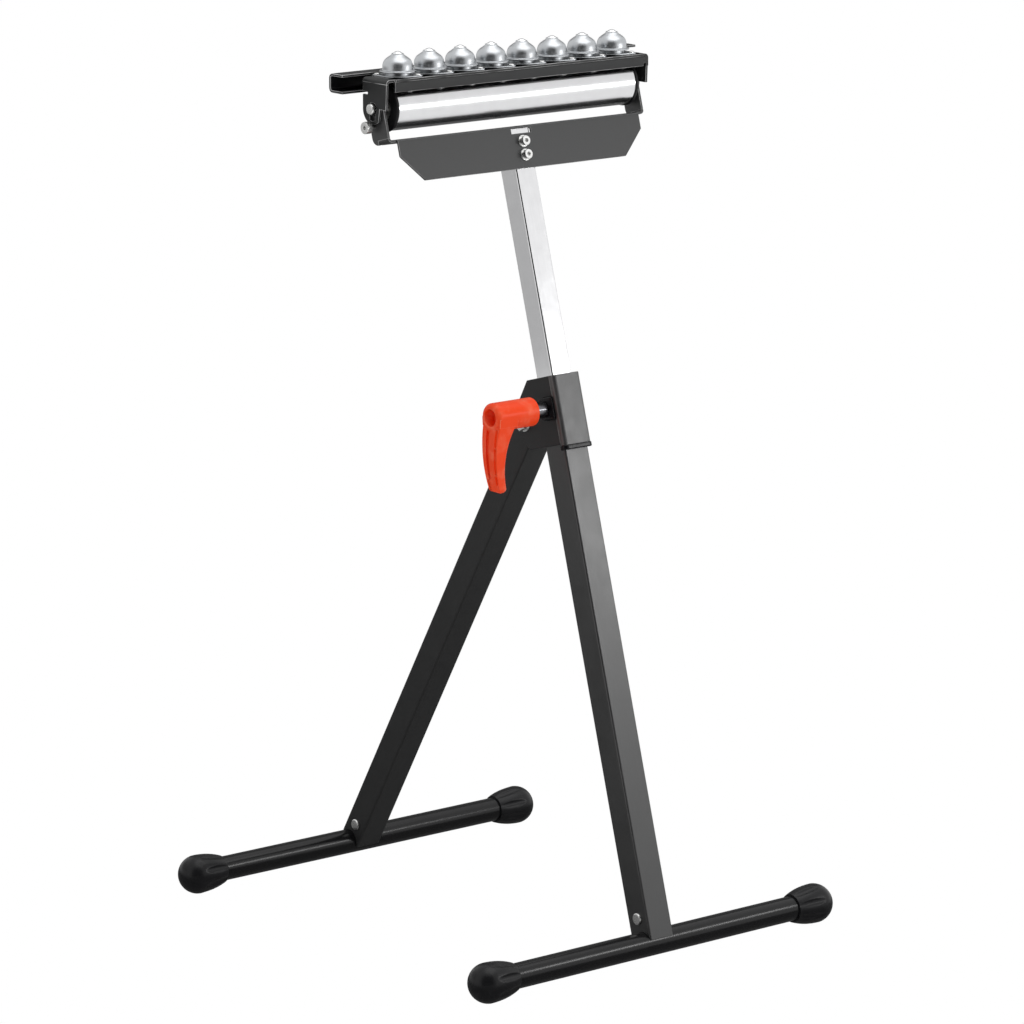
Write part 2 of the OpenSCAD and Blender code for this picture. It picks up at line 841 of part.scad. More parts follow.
module plate_washers() {
    face = mast_half + sheet;
    color("#b8babc") head_frame() difference() {
        for (drop = [plate_screw_drop, plate_screw_drop + plate_screw_gap])
            translate([0, -face, -drop]) rotate([90, 0, 0]) cylinder(r = plate_head_r + 1.3, h = washer_t);
        translate([0, -face + 1, 0]) plate_screw_holes(plate_screw_r + hole_play);
    }
}

module plate_screws() {
    seat = mast_half + sheet + washer_t;
    color("silver") head_frame()
        for (drop = [plate_screw_drop, plate_screw_drop + plate_screw_gap])
            translate([0, 0, -drop]) rotate([90, 0, 0]) difference() {
                union() {
                    translate([0, 0, seat]) cylinder(r = plate_head_r, h = head_h);
                    translate([0, 0, mast_in_w / 2 - nut_bar_t]) cylinder(r = plate_screw_r, h = seat);
                }
                translate([0, 0, seat + head_h - 2.5]) cylinder(r = 2.2, h = 3, $fn = 6);
            }
}

// Tapped bar inside the mast that the plate screws pull against
module nut_bar() {
    rise = plate_screw_drop - 7;
    color("#8a8c8e") head_frame() difference() {
        translate([-6, -mast_in_w / 2, -rise - plate_screw_gap - 14])
            cube([12, nut_bar_t, plate_screw_gap + 14]);
        plate_screw_holes(plate_screw_r + running);
    }
}

module roller_axle() {
    color("silver") axle_frame() {
        rod(axle_r, -ear_out - running, ear_out + running);
        rod(journal_r, -deck_ear_out - 1, deck_ear_out + 1);
        both_ends() rod(axle_head_r, deck_ear_out + 0.6, deck_ear_out + 0.6 + axle_head_t);
    }
}

// Sleeves that hold the roller midway between the ears
module axle_spacers() {
    color("#8a8c8e") axle_frame() both_ends() difference() {
        rod(axle_r + 2, ear_in - spacer_len, ear_in);
        rod(axle_r + running, roller_len / 2, ear_out);
    }
}

// Screws in the lower ears that the deck's ears come to rest on
module stop_screws() {
    head_out = stop_head_in + head_h + 1;
    color("silver") axle_frame() both_ends() translate([0, stop_y, stop_z]) difference() {
        union() {
            rod(stop_r, ear_in - 2, head_out - 1);
            rod(stop_head_r, stop_head_in, head_out);
        }
        hex_rod(4, head_out - 3, head_out + 1);
    }
}

// ---------------------------------------------------------------- roller

module roller_tube() {
    color("#e2e4e6") axle_frame() difference() {
        rod(roller_r, -roller_len / 2, roller_len / 2);
        rod(roller_r - roller_wall, -roller_len, roller_len);
    }
}

// Plastic end with a rim, which seats a bearing in the roller; made for +X
module roller_end(side) {
    end = roller_len / 2;
    axle_frame() mirror([side < 0 ? 1 : 0, 0, 0]) difference() {
        union() {
            rod(rim_r, end, end + rim_t);
            rod(roller_r - roller_wall - running, end - bearing_w - 1, end + 1);
        }
        rod(bearing_r + running, end + rim_t - bearing_w, end + rim_t + 1);
        rod(axle_r + 2.5, end - bearing_w - 2, end + rim_t);
    }
}

module roller_end_left() {
    color("#1b1b1d") roller_end(-1);
}

module roller_end_right() {
    color("#1b1b1d") roller_end(1);
}

module roller_bearings() {
    end = roller_len / 2 + rim_t;
    color("#9a9c9e") axle_frame() both_ends() difference() {
        rod(bearing_r, end - bearing_w, end);
        rod(axle_r + running, end - bearing_w - 1, end + 1);
    }
}

// ---------------------------------------------------------------- flip deck

// Bushes with two flats: they turn on the axle's ends and slide in the keyholes
module deck_bushes() {
    color("#1b1b1d") axle_frame() both_ends() difference() {
        intersection() {
            rod(bush_r, ear_out + clear, deck_ear_out + clear);
            translate([ear_out, -bush_half, -bush_r]) cube([10, 2 * bush_half, 2 * bush_r]);
        }
        rod(journal_r + running, ear_out, deck_ear_out + 1);
    }
}

module keyhole_outline() {
    circle(seat_r);
    translate([-slot_half, -lift]) square([2 * slot_half, lift]);
    intersection() {
        translate([0, -lift]) circle(seat_r);
        translate([-slot_half, -lift - seat_r]) square([2 * slot_half, lift + seat_r]);
    }
}

// Side view of one deck ear, given its front edge: the square upper part, the
// hooked lobe that turns past the stop screw, and the keyhole
module deck_ear_outline(front) {
    lobe_front = 11.3;
    difference() {
        union() {
            polygon([
                [-front, deck_under], [-front + 1.2, ear_step],
                [ear_back, ear_step], [ear_back, deck_under]
            ]);
            intersection() {
                circle(ear_sweep);
                polygon([
                    [-lobe_front, ear_step + 1], [-lobe_front + 1.4, -9.3], [-4.6, -2 * ear_sweep],
                    [0.5 * ear_sweep, -0.84 * ear_sweep], [ear_back, -0.84 * ear_sweep],
                    [ear_back, ear_step + 1]
                ]);
            }
        }
        keyhole_outline();
        translate([ear_back - 8, 13.5]) square([9, 3]);
    }
}

// Folded sheet: the deck plate, its front flange, two ears and two rear tabs.
// The flange stops short of the left ear and is folded round to the right one. A nick
// in its lower edge takes the bracket's right ear when the deck is turned forward.
module flip_deck() {
    flange_left = -deck_ear_out + flange_relief;
    flange_len = deck_ear_out - flange_left;
    color("#4a4c4e") axle_frame() difference() {
        union() {
            translate([-deck_ear_out, -deck_ear_front, deck_under])
                cube([2 * deck_ear_out, deck_ear_front + deck_back, sheet]);
            translate([flange_left, -deck_front, deck_under])
                cube([flange_len, deck_front, sheet]);
            translate([flange_left, -deck_front, flange_low])
                cube([flange_len, sheet, flange_h]);
            side_plate(-deck_ear_out, -deck_ear_in) deck_ear_outline(deck_ear_front);
            side_plate(deck_ear_in, deck_ear_out) deck_ear_outline(deck_front);
            both_ends() bar_tab();
        }
        deck_rivet_places() translate([0, 0, deck_under - 1])
            cylinder(r = rivet_r + running, h = sheet + 2);
        both_ends() bar_rivet_place() cylinder(r = rivet_r + running, h = bar_d);
        translate([ear_in - clear, -deck_front - 1, flange_low - 1])
            cube([sheet + 2 * clear, sheet + 2, max(nick_top - flange_low, 0) + 1]);
    }
}

// Tab from the deck's rear edge that turns down against the guide bar's web
module bar_tab() {
    translate([tab_out - tab_w / 2, deck_back - 1, deck_under]) cube([tab_w, web_in - deck_back + 1, sheet]);
    translate([tab_out - tab_w / 2, web_in - sheet, deck_up - tab_drop]) cube([tab_w, sheet, tab_drop]);
}

// Rivet axes through tab and web, pointing to the rear, from inside the tab
module bar_rivet_place() {
    for (side = [-1, 1])
        translate([tab_out + side * tab_w / 4, web_in - sheet - 2, deck_up - tab_drop + 4.5])
            rotate([-90, 0, 0]) children();
}

module bar_rivets() {
    color("silver") axle_frame() both_ends() bar_rivet_place() {
        cylinder(r = rivet_head_r, h = 2);
        cylinder(r = rivet_r, h = 2 + sheet + bar_wall);
    }
}

// Channel open to the front and at both ends, whose rear web becomes the top when
// the deck is flipped
module guide_bar() {
    color("#2a2a2c") axle_frame() difference() {
        side_plate(-bar_len / 2, bar_len / 2) translate([0, bar_top - bar_h / 2]) difference() {
            translate([bar_rear - bar_d, 0]) rounded(2 * bar_d, bar_h, bar_corner);
            translate([bar_front - bar_d - 1, -bar_h]) square([bar_d + 1, 2 * bar_h]);
            translate([bar_front - 1, -bar_h / 2 + bar_wall])
                square([web_in - bar_front + 1, bar_h - 2 * bar_wall]);
        }
        both_ends() bar_rivet_place() cylinder(r = rivet_r + running, h = bar_d);
    }
}

// ---------------------------------------------------------------- ball units

function unit_x(i) = (i - (ball_count + 1) / 2) * ball_pitch;

module unit_place(i) {
    axle_frame() translate([unit_x(i), -ball_ahead, deck_up]) children();
}

module rivet_pair() {
    for (side = [-1, 1])
        rotate([0, 0, lozenge_turn]) translate([side * rivet_out, 0, 0]) children();
}

// Every rivet axis on the deck, in the deck's frame at the height of the axle
module deck_rivet_places() {
    for (i = [1 : ball_count]) translate([unit_x(i), -ball_ahead, 0]) rivet_pair() children();
}

module lozenge() {
    tangent = acos((lozenge_r - lozenge_end_r) / rivet_out);
    near = lozenge_r * [cos(tangent), sin(tangent)];
    far = [rivet_out, 0] + lozenge_end_r * [cos(tangent), sin(tangent)];
    circle(lozenge_r);
    for (side = [-1, 1]) translate([side * rivet_out, 0]) circle(lozenge_end_r);
    polygon([
        near, far, [far.x, -far.y], [near.x, -near.y],
        [-near.x, -near.y], [-far.x, -far.y], [-far.x, far.y], [-near.x, near.y]
    ]);
}

// Half section of a pressed housing, from its foot to the lip round the ball
module unit_section() {
    lip = ball_top - 2.2;
    shoulder = brim_top + 4.5;
    lip_rise = ball_r - 2.2;
    mouth = sqrt(cage_r * cage_r - lip_rise * lip_rise) + 0.35;
    polygon([
        [0, lozenge_t / 2], [unit_r - 0.5, lozenge_t / 2], [unit_r - 0.5, unit_foot],
        [brim_r, unit_foot], [brim_r, brim_top], [unit_r, brim_top + 0.7], [unit_r, shoulder],
        [unit_r - 0.4, shoulder + 2.4], [unit_r - 1.4, shoulder + 4.8], [unit_r - 3.1, lip - 5.2],
        [mouth + 3.9, lip - 3.4], [mouth + 1.8, lip - 2], [mouth + 0.6, lip - 0.8], [mouth, lip], [0, lip]
    ]);
}

module ball_unit(i) {
    color("#c9cbcc") unit_place(i) difference() {
        union() {
            rotate([0, 0, lozenge_turn]) linear_extrude(lozenge_t) lozenge();
            rotate_extrude() unit_section();
        }
        translate([0, 0, ball_z - deck_up]) sphere(r = cage_r);
        rivet_pair() translate([0, 0, -1]) cylinder(r = rivet_r + running, h = lozenge_t + 2);
    }
}

module ball(i) {
    color("#f2f3f4") unit_place(i) translate([0, 0, ball_z - deck_up]) sphere(r = ball_r);
}

module deck_rivets() {
    color("silver") axle_frame() deck_rivet_places() {
        translate([0, 0, deck_up + lozenge_t]) cylinder(r = rivet_head_r, h = 1.2);
        translate([0, 0, deck_under - 0.8]) cylinder(r = rivet_head_r, h = 0.8);
        translate([0, 0, deck_under - 0.5]) cylinder(r = rivet_r, h = sheet + lozenge_t + 1);
    }
}

// ---------------------------------------------------------------- the stand

main_post();
post_sleeve();
post_collar();
left_cheek();
right_cheek();
front_foot_tube();
front_spigot();
front_cap_left();
front_cap_right();
front_foot_bolt();
clamp_nut();
pivot_bolt();
pivot_nut();
pivot_washers();
rear_leg();
leg_bush();
rear_foot_tube();
rear_spigot();
rear_cap_left();
rear_cap_right();
rear_foot_bolt();
clamp_handle();
clamp_stud();
pressure_pad();
mast();
mast_glide();
head_bracket();
plate_screws();
plate_washers();
nut_bar();
roller_axle();
axle_spacers();
stop_screws();
roller_tube();
roller_end_left();
roller_end_right();
roller_bearings();
deck_bushes();
flip_deck();
guide_bar();
bar_rivets();
deck_rivets();
for (i = [1 : ball_count]) {
    ball_unit(i);
    ball(i);
}
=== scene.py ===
"""Roller stand: shapes, finishes, studio and camera.

Shapes are drawn in millimetres and become objects in metres. "Up" and "back" name
the post's own axes: up along it, back square to it, towards the rear leg.
"""

import json
import logging
import math
from abc import ABC, abstractmethod
from collections.abc import Callable, Iterable, Sequence
from dataclasses import dataclass, field
from enum import Enum
from typing import NamedTuple

import bmesh
import bpy
from mathutils import Matrix, Vector

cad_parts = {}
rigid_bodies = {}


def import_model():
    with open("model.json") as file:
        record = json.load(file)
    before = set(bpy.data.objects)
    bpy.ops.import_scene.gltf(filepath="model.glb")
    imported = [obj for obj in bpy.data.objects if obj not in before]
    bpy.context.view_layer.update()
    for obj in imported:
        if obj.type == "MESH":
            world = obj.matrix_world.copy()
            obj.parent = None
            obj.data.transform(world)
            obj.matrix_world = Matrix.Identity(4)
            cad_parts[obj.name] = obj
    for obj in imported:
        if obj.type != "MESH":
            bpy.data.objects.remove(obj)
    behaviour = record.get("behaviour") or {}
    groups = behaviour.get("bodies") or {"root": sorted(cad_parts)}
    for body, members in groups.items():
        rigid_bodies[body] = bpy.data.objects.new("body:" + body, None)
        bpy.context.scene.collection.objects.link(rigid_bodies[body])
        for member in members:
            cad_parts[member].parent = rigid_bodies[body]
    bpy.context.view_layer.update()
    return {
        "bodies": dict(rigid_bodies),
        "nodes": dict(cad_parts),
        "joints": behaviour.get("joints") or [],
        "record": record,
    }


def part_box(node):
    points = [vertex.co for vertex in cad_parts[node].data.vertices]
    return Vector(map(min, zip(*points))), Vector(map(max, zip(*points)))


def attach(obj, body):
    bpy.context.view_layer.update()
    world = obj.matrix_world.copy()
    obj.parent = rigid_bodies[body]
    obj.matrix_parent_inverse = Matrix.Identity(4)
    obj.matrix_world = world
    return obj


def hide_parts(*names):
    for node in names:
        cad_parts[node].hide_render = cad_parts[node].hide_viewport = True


log = logging.getLogger("roller_stand")
MM = 0.001
FRONT_LEAN = math.radians(15.86)
LEG_LEAN = math.radians(30.79)
AXLE_UP = 35.8
DECK_UP = 30.1
# Face mark for scuffed edges and for painted highlights: on roundings, and on faces that look one
# way.
SCUFF_AND_HIGHLIGHT_MARK = "rubbed_edge"
MERGE = 0.001

Pair = tuple[float, float]
Triple = tuple[float, float, float]


# ---------------------------------------------------------------- mesh tools


class Plane(Enum):
    """The plane that an outline is drawn in, as the turn that puts it there."""

    TOP = Matrix.Identity(4)
    SIDE = Matrix(((0, 0, 1, 0), (1, 0, 0, 0), (0, 1, 0, 0), (0, 0, 0, 1)))
    FRONT = Matrix(((1, 0, 0, 0), (0, 0, -1, 0), (0, 1, 0, 0), (0, 0, 0, 1)))
    LEFTWARDS = Matrix.Rotation(-math.pi / 2, 4, "Y")
    FORWARDS = Matrix.Rotation(math.pi / 2, 4, "X")


class Corner(NamedTuple):
    """A corner of an outline or a section, with the radius that rounds it."""

    a: float
    b: float
    radius: float = 0.0


class Circle(NamedTuple):
    """A round outline or hole."""

    a: float
    b: float
    radius: float
    sides: int = 48


Outline = Circle | Sequence[Corner]


def corners(*places: tuple[float, ...]) -> list[Corner]:
    """Corners from plain tuples of two places and an optional radius."""
    return [Corner(*place) for place in places]


def rectangle(width: float, depth: float, radius: float) -> list[Corner]:
    """Corners of a rounded rectangle about the origin."""
    x, y = width / 2, depth / 2
    return corners((-x, -y, radius), (x, -y, radius), (x, y, radius), (-x, y, radius))


def arc(centre: Pair, radius: float, start: float, end: float, steps: int) -> list[Corner]:
    """Points along an arc of a section.

    Args:
        centre: Centre of the arc.
        radius: Its radius.
        start: First angle in degrees, from the first axis.
        end: Last angle in degrees.
        steps: Number of steps between them.

    Returns:
        The points, ends included.
    """
    a, b = centre
    angles = [math.radians(start + (end - start) * i / steps) for i in range(steps + 1)]
    return [Corner(a + radius * math.cos(t), b + radius * math.sin(t)) for t in angles]


def shift(x: float = 0.0, y: float = 0.0, z: float = 0.0) -> Matrix:
    """Move by x, y and z."""
    return Matrix.Translation((x, y, z))


def onto(plane: Plane, x: float = 0.0, y: float = 0.0, z: float = 0.0) -> Matrix:
    """Turn into a plane, then move by x, y and z."""
    return shift(x, y, z) @ plane.value


def mirrored(side: int = -1) -> Matrix:
    """Mirror across the middle of the stand, or stay when the side is 1."""
    return Matrix.Scale(side, 4, (1, 0, 0))


class Form:
    """A mesh that is being shaped, in millimetres."""

    ARC_STEP = 0.2
    CREASE = math.radians(50)

    def __init__(self) -> None:
        """Start with an empty mesh, whose faces can be marked as a scuffed edge with a painted
        highlight.
        """
        self.mesh = bmesh.new()
        self.mesh.faces.layers.float.new(SCUFF_AND_HIGHLIGHT_MARK)

    def draw(self, outline: Outline, closed: bool = True) -> None:
        """Draw an outline as edges in the ground plane and round its corners.

        Args:
            outline: A circle, or the corners in order.
            closed: Whether the last corner joins the first.
        """
        if isinstance(outline, Circle):
            bmesh.ops.create_circle(
                self.mesh, cap_ends=False, radius=outline.radius, segments=outline.sides,
                matrix=shift(outline.a, outline.b),
            )
            return
        count = len(outline)
        spots = [self.mesh.verts.new((c.a, c.b, 0.0)) for c in outline]
        for i in range(count if closed else count - 1):
            self.mesh.edges.new((spots[i], spots[(i + 1) % count]))
        places = [Vector((c.a, c.b)) for c in outline]
        for i, corner in enumerate(outline):
            if corner.radius <= 0:
                continue
            one = (places[i - 1] - places[i]).normalized()
            two = (places[(i + 1) % count] - places[i]).normalized()
            opening = one.angle(two)
            bmesh.ops.bevel(
                self.mesh, geom=[spots[i]], affect="VERTICES", offset_type="OFFSET",
                offset=corner.radius / math.tan(opening / 2), profile=0.5, material=-1,
                segments=max(2, round((math.pi - opening) / self.ARC_STEP)), clamp_overlap=True,
            )

    @classmethod
    def plate(
        cls, outline: Outline, start: float, end: float,
        plane: Plane = Plane.TOP, holes: Iterable[Outline] = (),
    ) -> "Form":
        """A flat piece of even thickness.

        Args:
            outline: Its outer edge.
            start: Where the thickness starts, square to the plane.
            end: Where it ends.
            plane: The plane that the outline is drawn in.
            holes: Outlines of the holes.

        Returns:
            The closed form.
        """
        form = cls()
        mesh = form.mesh
        for shape in (outline, *holes):
            form.draw(shape)
        bmesh.ops.remove_doubles(mesh, verts=mesh.verts[:], dist=MERGE)
        bmesh.ops.triangle_fill(mesh, edges=mesh.edges[:], use_beauty=True, use_dissolve=False)
        inner = [e for e in mesh.edges if not e.is_boundary]
        bmesh.ops.dissolve_limit(mesh, angle_limit=0.01, verts=[], edges=inner)
        form.raised(bmesh.ops.extrude_face_region(mesh, geom=mesh.faces[:]), end - start)
        return form.placed(plane.value @ shift(z=start))

    @classmethod
    def turned(
        cls, section: Sequence[Corner], plane: Plane = Plane.TOP,
        steps: int = 64, ring: bool = False,
    ) -> "Form":
        """A turned piece from its half section.

        Args:
            section: Radius and height of each corner.
            plane: Where the axis, the third direction of the plane, points.
            steps: Faces round the axis.
            ring: Whether the section is closed and stays off the axis.

        Returns:
            The closed form.
        """
        form = cls()
        mesh = form.mesh
        form.draw(section, closed=ring)
        bmesh.ops.remove_doubles(mesh, verts=mesh.verts[:], dist=MERGE)
        upright = Matrix.Rotation(math.pi / 2, 3, "X")
        bmesh.ops.rotate(mesh, verts=mesh.verts[:], cent=(0, 0, 0), matrix=upright)
        bmesh.ops.spin(
            mesh, geom=mesh.verts[:] + mesh.edges[:], cent=(0, 0, 0), axis=(0, 0, 1),
            dvec=(0, 0, 0), angle=2 * math.pi, steps=steps, use_merge=True,
            use_normal_flip=False, use_duplicate=False,
        )
        bmesh.ops.remove_doubles(mesh, verts=mesh.verts[:], dist=MERGE / 2)
        bmesh.ops.recalc_face_normals(mesh, faces=mesh.faces[:])
        return form.placed(plane.value)

    @classmethod
    def strip(
        cls, chain: Sequence[Corner], start: float, end: float, plane: Plane,
        closed: bool = False,
    ) -> "Form":
        """A thin sheet folded along a chain; wall() gives it its thickness.

        Args:
            chain: Corners of the fold, seen on edge.
            start: One side edge, square to the plane.
            end: The other side edge.
            plane: The plane that the chain is drawn in.
            closed: Whether the chain is a closed ring, as in a tube.

        Returns:
            The open form.
        """
        form = cls()
        mesh = form.mesh
        form.draw(chain, closed=closed)
        bmesh.ops.remove_doubles(mesh, verts=mesh.verts[:], dist=MERGE)
        form.raised(bmesh.ops.extrude_edge_only(mesh, edges=mesh.edges[:]), end - start)
        return form.placed(plane.value @ shift(z=start))

    def raised(self, extruded: dict[str, list], height: float) -> None:
        """Lift what an extrusion has made, and turn all the faces one way.

        Args:
            extruded: What the extrusion returned.
            height: How far it goes up.
        """
        tops = [g for g in extruded["geom"] if isinstance(g, bmesh.types.BMVert)]
        bmesh.ops.translate(self.mesh, verts=tops, vec=(0, 0, height))
        bmesh.ops.recalc_face_normals(self.mesh, faces=self.mesh.faces[:])

    def placed(self, place: Matrix) -> "Form":
        """Turn and move the form; a mirroring place turns its faces back outwards.

        Args:
            place: The turn and move.

        Returns:
            This form.
        """
        bmesh.ops.transform(self.mesh, matrix=place, verts=self.mesh.verts[:])
        if place.determinant() < 0:
            bmesh.ops.reverse_faces(self.mesh, faces=self.mesh.faces[:])
        return self

    def wall(self, thickness: float, inside: Triple) -> "Form":
        """Give a thin sheet its thickness.

        Args:
            thickness: Thickness of the sheet.
            inside: A point on the side that the material grows to.

        Returns:
            This form, closed.
        """
        largest = max(self.mesh.faces, key=lambda face: face.calc_area())
        if largest.normal.dot(Vector(inside) - largest.calc_center_median()) > 0:
            bmesh.ops.reverse_faces(self.mesh, faces=self.mesh.faces[:])
        self.mesh.normal_update()
        bmesh.ops.solidify(self.mesh, geom=self.mesh.faces[:], thickness=thickness)
        return self

    def cut(self, point: Triple, normal: Triple, keep: bool = False) -> "Form":
        """Cut an open sheet along a plane.

        Args:
            point: A point on the plane.
            normal: Its direction, towards the side that goes.
            keep: Keep that side too and only mark the cut.

        Returns:
            This form.
        """
        everything = self.mesh.verts[:] + self.mesh.edges[:] + self.mesh.faces[:]
        bmesh.ops.bisect_plane(
            self.mesh, geom=everything, dist=0.0001, plane_co=point, plane_no=normal,
            clear_outer=not keep, clear_inner=False,
        )
        return self

    def drop(self, unwanted: Callable[[Vector], bool]) -> "Form":
        """Take away faces.

        Args:
            unwanted: Says whether a face goes, from its middle.

        Returns:
            This form.
        """
        faces = [f for f in self.mesh.faces if unwanted(f.calc_center_median())]
        bmesh.ops.delete(self.mesh, geom=faces, context="FACES")
        return self

    def sliced(self, heights: Iterable[float]) -> "Form":
        """Add level cuts.

        Args:
            heights: The height of each.

        Returns:
            This form.
        """
        for height in heights:
            self.cut((0, 0, height), (0, 0, 1), keep=True)
        return self

    def warped(self, move: Callable[[Vector], Vector]) -> "Form":
        """Move every point.

        Args:
            move: Gives the new place of a point.

        Returns:
            This form.
        """
        for vert in self.mesh.verts:
            vert.co = move(vert.co)
        self.mesh.normal_update()
        return self

    def softened(
        self, width: float, steps: int = 2, above: float = 35.0, scuff_and_highlight: float = 1.0
    ) -> "Form":
        """Round the sharp edges and mark the rounding as scuffed, with a painted highlight.

        Args:
            width: Width of the rounding.
            steps: Its faces.
            above: Edges that turn by more degrees than this are rounded.
            scuff_and_highlight: How strongly the rounding is marked as scuffed and painted
                highlight, from 0 to 1.

        Returns:
            This form.
        """
        limit = math.radians(above)
        edges = [e for e in self.mesh.edges if e.is_manifold and e.calc_face_angle(0.0) > limit]
        rounding = bmesh.ops.bevel(
            self.mesh, geom=edges, affect="EDGES", offset_type="OFFSET", offset=width,
            segments=steps, profile=0.5, material=-1, clamp_overlap=True,
        )
        mark = self.mesh.faces.layers.float[SCUFF_AND_HIGHLIGHT_MARK]
        for face in rounding["faces"]:
            face[mark] = scuff_and_highlight
        return self

    def scuffed_and_highlit(self, way: Triple, within: float) -> "Form":
        """Mark the faces that look one way for a painted highlight.

        Args:
            way: The direction.
            within: How many degrees off it a face may look.

        Returns:
            This form.
        """
        mark = self.mesh.faces.layers.float[SCUFF_AND_HIGHLIGHT_MARK]
        self.mesh.normal_update()
        for face in self.mesh.faces:
            if face.normal.length > 0 and face.normal.angle(Vector(way)) < math.radians(within):
                face[mark] = 1.0
        return self

    def joined(self, *others: "Form") -> "Form":
        """Take other forms into this one.

        Args:
            others: The forms, which are used up.

        Returns:
            This form.
        """
        for other in others:
            carrier = bpy.data.meshes.new("carrier")
            other.mesh.to_mesh(carrier)
            self.mesh.from_mesh(carrier)
            bpy.data.meshes.remove(carrier)
            other.mesh.free()
        return self

    def copied(self, place: Matrix) -> "Form":
        """A copy of the form at another place.

        Args:
            place: The turn and move from here to there.

        Returns:
            The copy.
        """
        twin = Form()
        twin.mesh.free()
        twin.mesh = self.mesh.copy()
        return twin.placed(place)

    def doubled(self) -> "Form":
        """The form and its mirror image across the middle of the stand."""
        return self.joined(self.copied(mirrored()))

    def to_object(self, name: str) -> bpy.types.Object:
        """Finish the form as an object in metres at the origin.

        Args:
            name: Name of the object.

        Returns:
            The object, linked to the scene and shaded smooth up to its creases.
        """
        bmesh.ops.scale(self.mesh, vec=(MM, MM, MM), verts=self.mesh.verts[:])
        mesh = bpy.data.meshes.new(name)
        self.mesh.to_mesh(mesh)
        self.mesh.free()
        mesh.polygons.foreach_set("use_smooth", [True] * len(mesh.polygons))
        mesh.set_sharp_from_angle(angle=self.CREASE)
        obj = bpy.data.objects.new(name, mesh)
        bpy.context.scene.collection.objects.link(obj)
        even = obj.modifiers.new("even_shading", "WEIGHTED_NORMAL")
        even.keep_sharp = True
        return obj


# ---------------------------------------------------------------- shader tools

Number = float | int


class Wire:
    """A shader socket that can be used in arithmetic."""

    def __init__(self, shade: "Shade", socket: bpy.types.NodeSocket) -> None:
        """Wrap a socket of a material under construction."""
        self.shade = shade
        self.socket = socket

    def _math(self, operation: str, one: "Wire | Number", two: "Wire | Number") -> "Wire":
        """Add a Math node with two inputs."""
        return self.shade.node("ShaderNodeMath", {0: one, 1: two}, operation=operation)

    def __add__(self, other: "Wire | Number") -> "Wire":
        """Sum."""
        return self._math("ADD", self, other)

    __radd__ = __add__

    def __sub__(self, other: "Wire | Number") -> "Wire":
        """Difference."""
        return self._math("SUBTRACT", self, other)

    def __mul__(self, other: "Wire | Number") -> "Wire":
        """Product."""
        return self._math("MULTIPLY", self, other)

    __rmul__ = __mul__

    def above(self, limit: Number, width: Number) -> "Wire":
        """A mask that rises from 0 to 1 over a width around a limit."""
        inputs = {"Value": self, "From Min": limit - width / 2, "From Max": limit + width / 2}
        return self.shade.node("ShaderNodeMapRange", inputs, interpolation_type="SMOOTHSTEP")


